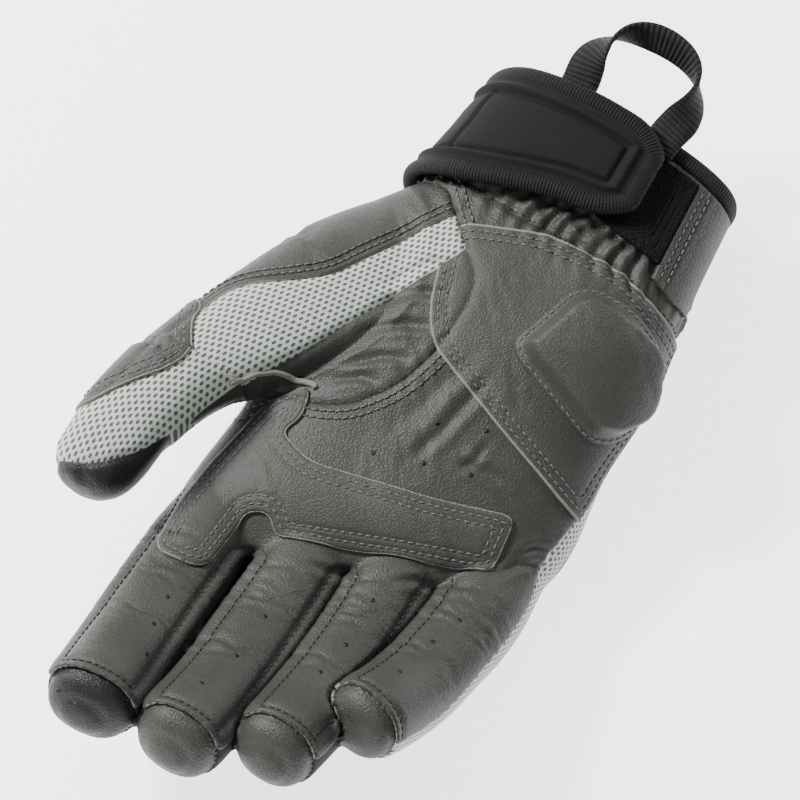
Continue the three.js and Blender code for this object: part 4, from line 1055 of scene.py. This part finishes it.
tip_edge = np.min([np.where(skin[name] > ELSEWHERE + 1, -skin[name], 40) for name in FINGERS], axis=0)
little_outside = np.clip(skin["strip_side"] / 3 + 0.5, 0, 1)
front_edge = np.minimum(skin["palm"] + 6 * little_outside, tip_edge)
finger_lip = lip_on(front_edge, skin["finger_share"])
lips = {"palm_leather": finger_lip, "thumb_outer_panel": lip_on(-skin["mesh"], 0.8)}
LOOKS = {
    "palm_leather": (leather_grey, "palm_leather"),
    "back_panel": (back_cloth, "back_textile"),
    "index_tip": (leather_black_and_hole_shade, "black_leather"),
    "middle_tip": (leather_grey, "palm_leather"),
    "ring_tip": (leather_grey, "palm_leather"),
    "little_tip": (leather_grey, "palm_leather"),
    "thumb_outer_panel": (leather_grey, "palm_leather"),
    "thumb_inner_panel": (leather_grey, "palm_leather"),
    "thumb_tip": (leather_black_and_hole_shade, "black_leather"),
    "thumb_mesh_panel": (thumb_mesh, "mesh"),
}
for name, (look, slot) in LOOKS.items():
    uv = {"thumb_mesh_panel": mesh_uv, "back_panel": back_uv}.get(name)
    piece = shell(name + "_sewn", skin, panels[name], -WALL, lips.get(name, 0.0), look, raw_edge, uv)
    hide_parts(name)
strip = shell("side_mesh_strip", skin, panels["side_strip"], -WALL, 0.0, thumb_mesh, thumb_mesh, back_uv)
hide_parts("back_panel")
print("panels sewn:", len(LOOKS) + 1)

# %% [markdown]
# ## Patches on the palm
# The patches lie on the skin and follow its folds. The slider is a pad with a steep edge and a crowned
# face.

# %% Patches and the padded slider
def patch_part(key, within):
    snug = snapped(skin, whole, key)
    return snug, keep(snug, within, key)


UNDER_PATCHES = ("palm_leather", "thumb_inner_panel", "thumb_outer_panel", "back_panel")
UNDER_KNUCKLE = ("thumb_mesh_panel", "thumb_outer_panel", "thumb_inner_panel", "thumb_tip")
upper_panels = np.concatenate([panels[name] for name in UNDER_PATCHES])
thumb_panels = np.concatenate([panels[name] for name in UNDER_KNUCKLE])
patch_skin, patch_faces = patch_part("patch", upper_panels)
heel_skin, heel_faces = patch_part("heel", upper_panels)
knuckle_skin, knuckle_faces = patch_part("knuckle", thumb_panels)
slider_skin, slider_faces = patch_part("slider", whole)


ROW_LEVELS = (2.2, 4.4)


def crowned(skin, key, edge, full):
    height = edge + (full - edge) * np.clip(skin[key] / 1.6, 0, 1) ** 0.5
    return height - sum(0.3 * bump_at(skin[key], level, 0.7) for level in ROW_LEVELS)


palm_patch = shell("palm_patch_sewn", patch_skin, patch_faces, 0.15, crowned(patch_skin, "patch", 0.9, 1.45),
                   leather_patch, raw_edge)
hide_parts("palm_patch")
heel_patch = shell("heel_patch_sewn", heel_skin, heel_faces, 0.15, crowned(heel_skin, "heel", 1.0, 1.35),
                   leather_patch, raw_edge)
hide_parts("heel_patch")
knuckle_patch = shell("knuckle_patch_sewn", knuckle_skin, knuckle_faces, 0.15,
                      crowned(knuckle_skin, "knuckle", 0.8, 1.3), leather_patch, raw_edge)
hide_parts("thumb_knuckle_patch")
rise = slider_skin["slider"]
slope = np.clip((rise - 1.6) / 4.2, 0, 1)
pad_height = 2.1 + 5.4 * slope * slope * (3 - 2 * slope) + 1.4 * np.clip(rise / 16, 0, 1) ** 0.7
slider = shell("heel_slider_pad", slider_skin, slider_faces, 1.5, pad_height, leather_patch)
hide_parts("heel_slider")
print("patches", len(patch_faces), len(heel_faces), len(knuckle_faces), "slider", len(slider_faces))

# %% [markdown]
# ## The strap, its binding and the cuff
# The wrist strap is three millimetres of neoprene whose edge is wrapped in ribbed tape. It is drawn on the
# same unrolled wrist as the solids: two edges in shares of the hand's length, from the back round to a
# rounded end.

# %% Strap rows and grids
STRAP_EDGES = np.array([
    (-70, 0.05, 0.28, 1.6), (-30, 0.036, 0.295, 1.6), (20, 0.03, 0.3, 1.6), (50, 0.02, 0.29, 3.6),
    (70, 0.014, 0.268, 4.2), (90, 0.006, 0.225, 4.2), (109, 0.016, 0.196, 3.7),
])
NEOPRENE, BINDING_WIDTH, BINDING_THICKNESS, END_RADIUS = 3.0, 6.0, 4.4, 12.0
strap_table = [eased(STRAP_EDGES[:, 0], STRAP_EDGES[:, i], 6) for i in (1, 2, 3)]
wrist_girth = travelled(hand_point(0.12, degree_steps))


def strap_line(inset, rows=90):
    start, end = np.interp(STRAP_EDGES[[0, -1], 0], degree_steps, wrist_girth)
    arc = np.linspace(start, end - inset, rows)
    angle = np.interp(arc, wrist_girth, degree_steps)
    low, high, lift = (np.interp(angle, *column) for column in strap_table)
    left = np.clip(END_RADIUS - (end - arc), 0, END_RADIUS)
    cut = END_RADIUS - np.sqrt(np.clip(END_RADIUS ** 2 - left ** 2, 0, None))
    cut = np.minimum(cut, (high - low) * HAND_LENGTH / 2 - inset - 0.2)
    return angle, low + (cut + inset) / HAND_LENGTH, high - (cut + inset) / HAND_LENGTH, lift


def grid_slab(name, angle, low, high, lift, thickness, columns, look, relief):
    share = np.linspace(0, 1, columns)
    along = low[:, None] + (high - low)[:, None] * share
    arc = np.interp(angle, degree_steps, wrist_girth)
    to_edge = np.minimum(share, 1 - share) * ((high - low) * HAND_LENGTH)[:, None]
    to_edge = np.minimum(to_edge, (arc[-1] - arc)[:, None])
    crown = relief(to_edge, arc[:, None])
    top = hand_point(along, angle[:, None], lift[:, None] + thickness + crown)
    under = hand_point(along, angle[:, None], lift[:, None] + 0 * along)
    rows = len(angle)
    index = np.arange(rows * columns).reshape(rows, columns)
    quads = np.stack([index[:-1, :-1], index[:-1, 1:], index[1:, 1:], index[1:, :-1]], -1).reshape(-1, 4)
    border = [*index[0], *index[1:, -1], *index[-1, -2::-1], *index[-2:0:-1, 0]]
    count = rows * columns
    faces = quads.tolist() + (quads[:, ::-1] + count).tolist()
    faces += [(b, a, a + count, b + count) for a, b in zip(border, border[1:] + border[:1])]
    uv = np.stack([np.broadcast_to(arc[:, None], along.shape), along * HAND_LENGTH], -1).reshape(-1, 2)
    places = np.concatenate([top.reshape(-1, 3), under.reshape(-1, 3)])
    return put_together(name, places, faces, [look], uv=np.concatenate([uv, uv]))


STRAP_SEAM = np.interp(38, degree_steps, wrist_girth)


def strap_relief(to_edge, arc):
    inside = to_edge - 1.5
    welt = 1.3 * bump_at(inside, 2.0, 1.1) - 0.9 * bump_at(inside, 4.0, 0.7)
    cushion = 0.9 * np.clip((inside - 4) / 6, 0, 1) ** 0.5
    return welt + cushion - 0.9 * bump_at(arc, STRAP_SEAM, 0.7) * (inside > 3.5)


angle, low, high, lift = strap_line(BINDING_WIDTH - 1.5, 200)
strap = grid_slab("wrist_strap_cloth", angle, low, high, lift, NEOPRENE, 72, neoprene, strap_relief)
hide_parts("wrist_strap")


def surface_normal(along, degrees, lift):
    ahead = hand_point(along + 0.002, degrees, lift) - hand_point(along - 0.002, degrees, lift)
    round_ = hand_point(along, degrees + 0.4, lift) - hand_point(along, degrees - 0.4, lift)
    return unit(np.cross(ahead, round_))


RIB_PITCH, RIB_DEPTH = 0.95, 0.02


def tube(name, spots, normals, width, thickness, look, closed=False, power=2.0):
    around = 16
    gone = travelled(spots)
    count = int(gone[-1] / (RIB_PITCH / 2))
    at = np.linspace(0, gone[-1], count)
    spots, normals = read_off(at, gone, spots), read_off(at, gone, normals)
    way = np.gradient(spots, axis=0)
    if closed:
        way[0] = way[-1] = spots[1] - spots[-2]
    way = unit(way)
    side = unit(np.cross(way, normals))
    up = np.cross(side, way)
    u, v = superellipse(np.arange(around) * 360 / around, power)
    swell = 1 - RIB_DEPTH * (np.arange(count) % 2)
    rings = (spots[:, None] + side[:, None] * (u * width / 2)[None, :, None] * swell[:, None, None]
             + up[:, None] * (v * thickness / 2)[None, :, None] * swell[:, None, None])
    faces = net_faces(count, around)
    if not closed:
        faces.append(tuple(range(around))[::-1])
        faces.append(tuple((count - 1) * around + i for i in range(around)))
    uv = np.stack([np.repeat(at, around), np.tile(np.arange(around) * width * 2.6 / around, count)], -1)
    return put_together(name, rings.reshape(-1, 3), faces, [look], uv=uv)


def edge_walk(inset, rows=240):
    angle, low, high, lift = strap_line(inset, rows)
    angles = np.concatenate([angle, angle[::-1]])
    alongs = np.concatenate([low, high[::-1]])
    lifts = np.concatenate([lift, lift[::-1]]) + NEOPRENE / 2
    return hand_point(alongs, angles, lifts), surface_normal(alongs, angles, lifts)


binding = tube("strap_binding_tape", *edge_walk(BINDING_WIDTH / 2), BINDING_WIDTH, BINDING_THICKNESS,
               binding_tape)
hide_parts("strap_binding")
print("strap and its binding made")

# %% [markdown]
# ## The open end of the glove
# Past the strap's end the mat of hooks and a folded leather facing show. A bound rim closes the cuff, and
# the webbing of the pull loop twists as it bends over.

# %% Hook pad, facing, rim binding and pull loop
def facing(name, table, thickness, look, relief):
    table = np.array(table, float)
    angle = np.linspace(table[0, 0], table[-1, 0], 90)
    low, high = (np.interp(angle, table[:, 0], table[:, i]) for i in (1, 2))
    return grid_slab(name, angle, low, high, np.full(len(angle), 0.2), thickness, 60, look, relief)


def matted(to_edge, arc):
    tufts = np.array([[noise.noise(Vector((a * 1.3, e * 1.7, 0))) for e in row]
                      for row, a in zip(to_edge, np.broadcast_to(arc, to_edge.shape)[:, 0])])
    return 0.45 * tufts


FACING_START, CUFF_ROWS = 132, (1.8, 4.2)


def folded_facing(to_edge, arc):
    start = arc - arc.min()
    folded = 0.5 * np.clip(1.2 - start / 6, 0, 1)
    return folded - 0.4 * bump_at(start, CUFF_ROWS[0], 0.6) - 0.4 * bump_at(start, CUFF_ROWS[1], 0.6)


pad = facing("hook_pad_mat", [(88, 0.045, 0.2), (110, 0.045, 0.212), (131, 0.046, 0.214)], 1.8, hook_mat,
             matted)
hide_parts("hook_pad")
cuff = facing("cuff_facing_sewn", [(FACING_START, 0.042, 0.242), (150, 0.042, 0.25), (175, 0.042, 0.24)], 1.2,
              leather_grey, folded_facing)
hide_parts("cuff_facing")

rim_turn = np.linspace(-180, 180, 361)
RIM_MIDDLE = 0.0165
rim_spots = hand_point(RIM_MIDDLE, rim_turn, -0.8)
rim = tube("cuff_binding_tape", rim_spots, surface_normal(np.full(361, RIM_MIDDLE), rim_turn, -0.8), 5.0, 3.2,
           binding_tape, closed=True, power=2.6)
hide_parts("cuff_binding")

LOOP = [(1, -0.27, 0, 0), (1, 0, 0, 0), (1.06, 0.2, 0.2, 4), (1.08, 0.42, 0.45, 24), (0.86, 0.74, 0.75, 72),
        (0.5, 0.93, 0.93, 108), (0.05, 1, 1, 120), (-0.5, 0.97, 0.9, 110), (-0.88, 0.78, 0.7, 94),
        (-1.06, 0.48, 0.45, 60), (-1.05, 0.2, 0.2, 16), (-1, 0, 0, 0), (-1, -0.27, 0, 0)]
LOOP_SPAN, LOOP_REACH, LOOP_RISE, LOOP_LIFT = 28.0, 22.0, 5.5, 1.8
WEB_WIDTH, WEB_THICKNESS, LOOP_EASE = 11.0, 1.4, 0.42


def loop_knots():
    knots, twists = [], []
    for side, out, rise, twist in LOOP:
        along = -out * LOOP_REACH / HAND_LENGTH
        x = -0.12 * PALM_WIDTH + side * LOOP_SPAN / 2
        u = (x - hand("across", along) * PALM_WIDTH) / (hand("width", along) * PALM_WIDTH / 2)
        degrees = math.degrees(math.acos(np.sign(u) * abs(u) ** (HAND_POWER / 2)))
        knots.append(hand_point(along, degrees, LOOP_LIFT + rise * LOOP_RISE))
        twists.append(twist)
    return np.array(knots), np.radians(twists)


def flat_band(name, knots, twists, width, thickness, look):
    t = np.arange(len(knots), dtype=float)
    fine = np.linspace(0, len(knots) - 1, 160)
    path = np.stack([np.interp(fine, *eased(t, knots[:, i], LOOP_EASE)) for i in range(3)], -1)
    twist = np.interp(fine, *eased(t, twists, LOOP_EASE))
    way = unit(np.gradient(path, axis=0))
    flat_side = unit(np.cross(way, (0, 0, 1.0)))
    up = np.cross(flat_side, way)
    side = flat_side * np.cos(twist)[:, None] + up * np.sin(twist)[:, None]
    face = np.cross(side, way)
    section = [(-1, 0.0), (-0.92, -1), (-0.3, -1), (0.3, -1), (0.92, -1), (1, 0.0), (0.92, 1), (0.3, 1),
               (-0.3, 1), (-0.92, 1)]
    count = len(section)
    rings = [path + side * u * width / 2 + face * v * thickness / 2 for u, v in section]
    places = np.stack(rings, 1).reshape(-1, 3)
    rows = len(path)
    faces = net_faces(rows, count)
    faces += [tuple(range(count))[::-1], tuple((rows - 1) * count + i for i in range(count))]
    uv = np.stack([np.repeat(travelled(path), count), np.tile([u * width / 2 for u, _ in section], rows)], -1)
    return put_together(name, places, faces, [look], uv=uv)


loop = flat_band("pull_loop_webbing", *loop_knots(), WEB_WIDTH, WEB_THICKNESS, webbing_tape)
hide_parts("pull_loop")
print("cuff, pad and loop made")

# %% [markdown]
# ## Stitching and raw edges
# Patches are held by two rows of grey thread, two millimetres apart, and their cut edges show as a thin
# pale line. The fingers' front panels are sewn with one dark row beside the lip. Each stitch is a small
# arched capsule, copied along its row; a black disc of painted shade marks the needle hole between it and the
# next.

# %% Rows of stitches
def lifted(lines, height):
    return [(spots + normals * height, normals) for spots, normals in lines]


DOT_LIFT, DOT_DEPTH = 0.06, 0.5


# A dot is a black disc standing a hair above the surface: painted shade in place of a hole.
def dots(name, places, normals, look, radius, sides=10):
    turn = np.radians(np.arange(sides) * 360 / sides)
    spots, faces = [], []
    for place, normal in zip(places, normals):
        side = np.cross(normal, (0.3, 0.2, 0.9))
        side /= np.linalg.norm(side)
        other = np.cross(normal, side)
        base = len(spots)
        for depth in (DOT_LIFT, -DOT_DEPTH):
            for angle in turn:
                out = side * math.cos(angle) + other * math.sin(angle)
                spots.append(place + out * radius + normal * depth)
        faces.append(tuple(base + i for i in range(sides)))
        faces.append(tuple(base + sides + i for i in range(sides))[::-1])
        faces += [(base + i, base + sides + i, base + sides + (i + 1) % sides, base + (i + 1) % sides)
                  for i in range(sides)]
    return put_together(name, np.array(spots), faces, [look])


NEEDLE_RADIUS, AIR_HOLE_RADIUS = 0.34, 0.72


# Needle holes are painted shade: one black disc between each two stitches.
def needle_hole_shade(name, lines, pitch, look):
    spots, normals = [], []
    for line in lines:
        at, up = evenly(line, pitch)
        if len(at) > 2:
            spots += list((at[1:] + at[:-1]) / 2)
            normals += list(up[1:])
    return dots(name, spots, normals, look, NEEDLE_RADIUS, sides=6)


def on_palm(skin, part, low=25.0):
    return part[(skin["x"][part][:, :, 2] > low).all(1)]


PATCH_PITCH, SEAM_PITCH = 2.4, 2.3
palm_part = panels["palm_leather"]
palm_up = on_palm(skin, palm_part)
rows = []
for level in ROW_LEVELS:
    rows += lifted(contours(patch_skin, on_palm(patch_skin, patch_faces), "patch", level), 1.05)
    rows += lifted(contours(heel_skin, on_palm(heel_skin, heel_faces), "heel", level, 20), 1.0)
    rows += lifted(contours(knuckle_skin, knuckle_faces, "knuckle", level), 0.95)
    rows += contours(skin, palm_up, "thumb", -level, 20)
heel_edge = contours(heel_skin, on_palm(heel_skin, heel_faces), "heel", 0.35)
patch_edge = contours(patch_skin, on_palm(patch_skin, patch_faces), "patch", 0.3)
knuckle_edge = contours(knuckle_skin, knuckle_faces, "knuckle", 0.3)
sweep("heel_raw_edge", heel_edge, 0.8, 0.4, 0.85, raw_edge)
sweep("palm_raw_edge", patch_edge + knuckle_edge, 0.6, 0.3, 0.75, raw_edge)
rows += [line for level in (2.0, 4.0) for line in contours(skin, panels["thumb_outer_panel"], "mesh", -level)]
slider_rows = lifted(contours(slider_skin, slider_faces, "slider", 1.0), 2.1)
cuff_rows = []
facing_start = np.interp(FACING_START, degree_steps, wrist_girth)
for start in CUFF_ROWS:
    turn_at = np.interp(facing_start + start, wrist_girth, degree_steps)
    line = np.linspace(0.05, 0.238, 60)
    cuff_rows.append((hand_point(line, turn_at, 1.4), surface_normal(line, np.full(60, turn_at), 1.4)))
stitches("patch_stitching", rows + cuff_rows, grey_thread, PATCH_PITCH)
needle_hole_shade("patch_needle_holes", rows + cuff_rows, PATCH_PITCH, leather_black_and_hole_shade)
stitches("slider_stitching", slider_rows, grey_thread, PATCH_PITCH, 1.7)
needle_hole_shade("slider_needle_holes", slider_rows, PATCH_PITCH, leather_black_and_hole_shade)

snug = dict(skin, front=np.where(skin["finger_share"] > 0.5, front_edge, 1.0))
finger_rows = contours(snug, palm_part, "front", LIP_ROW, 12)
stitches("finger_stitching", finger_rows, dark_thread, SEAM_PITCH, 1.7, 0.24, -0.35)
gather_rows = []
for row in GATHER_ROWS:
    gather_rows += contours(skin, palm_up[(skin["thumb"][palm_up] < -2).all(1)], "along", row, 12)
stitches("gather_stitching", gather_rows, dark_thread, SEAM_PITCH, 1.6, 0.22, 0.0)

PERFORATIONS = [(-0.111, 0.813), (-0.242, 0.776), (-0.376, 0.739), (-0.219, 0.697), (-0.34, 0.661),
                (0.098, 1.25), (0.07, 1.313), (0.027, 1.376), (-0.153, 1.178), (-0.159, 1.281),
                (-0.142, 1.374), (-0.35, 1.03), (-0.374, 1.139), (-0.372, 1.218),
                (-0.573, 0.975), (-0.558, 1.045), (-0.554, 1.141)]


def on_top(shares):
    spots, normals = [], []
    for across, along in shares:
        x, y = np.array((across * PALM_WIDTH, along * HAND_LENGTH)) + SHIFT[:2]
        gap = np.hypot(skin["x"][:, 0] - x, skin["x"][:, 1] - y)
        near = np.where(gap < 1.2)[0]
        top = near[skin["x"][near, 2].argmax()]
        spots.append(skin["x"][top])
        normals.append(skin["n"][top])
    return np.array(spots), np.array(normals)


# The perforations are black discs of painted shade, not cut holes.
dots("air_hole_shade", *on_top(PERFORATIONS), leather_black_and_hole_shade, AIR_HOLE_RADIUS)
WEB_FLAP = np.array([(0.297, 0.868), (0.269, 0.817), (0.226, 0.783), (0.156, 0.764), (0.133, 0.76)])
steps = np.linspace(0, 1, 40)
flap = np.stack([np.interp(steps, *eased(np.linspace(0, 1, 5), WEB_FLAP[:, i], 0.05)) for i in (0, 1)], -1)
sweep("web_flap_edge", [on_top(flap)], 1.6, 1.3, -0.3, raw_edge)
print("rows of stitches", len(rows), "and", len(finger_rows), "on the fingers")

# %% [markdown]
# ## Floor, light and camera
# A plain pale floor and three soft lights, as in a catalogue picture. The camera looks down at the palm
# from beyond the fingertips, a little to the little finger's side, through a long lens, so that the near
# fingers do not swell.

# %% Studio
bpy.ops.mesh.primitive_plane_add(size=6, location=(0, 0, -0.0006))
floor = bpy.context.object
floor.name = "studio_floor"
floor_finish = Finish("pale_floor")
floor_finish.set(Base_Color=(0.93, 0.93, 0.93, 1), Roughness=0.9, Specular_IOR_Level=0.1,
                 Emission_Color=(1, 1, 1, 1), Emission_Strength=2.4)
floor.data.materials.append(floor_finish.material)
floor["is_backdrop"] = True

world = bpy.data.worlds.new("studio")
bpy.context.scene.world = world
world.use_nodes = True
world.node_tree.nodes["Background"].inputs["Color"].default_value = (1, 1, 1, 1)
world.node_tree.nodes["Background"].inputs["Strength"].default_value = 0.26

CAMERA_AZIMUTH, CAMERA_ELEVATION = math.radians(215), math.radians(68)
back = Vector((math.sin(CAMERA_AZIMUTH) * math.cos(CAMERA_ELEVATION),
               -math.cos(CAMERA_AZIMUTH) * math.cos(CAMERA_ELEVATION), math.sin(CAMERA_ELEVATION)))
target = Vector((3.8, -13.45, 0.0)) * MM
LENS, SENSOR, FIELD, MIDDLE_HEIGHT = 400, 36, 0.22857, 0.022


def lamp(name, place, size, power):
    data = bpy.data.lights.new(name, "AREA")
    data.shape, data.size, data.energy = "DISK", size, power
    light = bpy.data.objects.new(name, data)
    bpy.context.collection.objects.link(light)
    light.location = target + Vector(place)
    light.rotation_euler = (-Vector(place)).to_track_quat("-Z", "Y").to_euler()


lamp("key", (0.85, 0.05, 0.85), 0.32, 30)
lamp("fill", (-0.5, 0.9, 0.9), 1.0, 4)
lamp("edge", (-0.2, -1.1, 0.6), 0.4, 7)

camera_data = bpy.data.cameras.new("camera")
camera = bpy.data.objects.new("camera", camera_data)
bpy.context.collection.objects.link(camera)
camera_data.lens, camera_data.sensor_width = LENS, SENSOR
camera_data.clip_end = 50
distance = FIELD * LENS / SENSOR + MIDDLE_HEIGHT
camera.location = target + back * distance
camera.rotation_euler = (-back).to_track_quat("-Z", "Y").to_euler()
bpy.context.scene.camera = camera
print("camera", round(distance, 2), "m from the palm")

# %% [markdown]
# ## Closing the scene
# The outer sizes are written down before the frame closes the scene.

# %% Sizes and the end
low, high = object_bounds()
print("visual box in mm", [round(v * 1000, 1) for v in high - low])
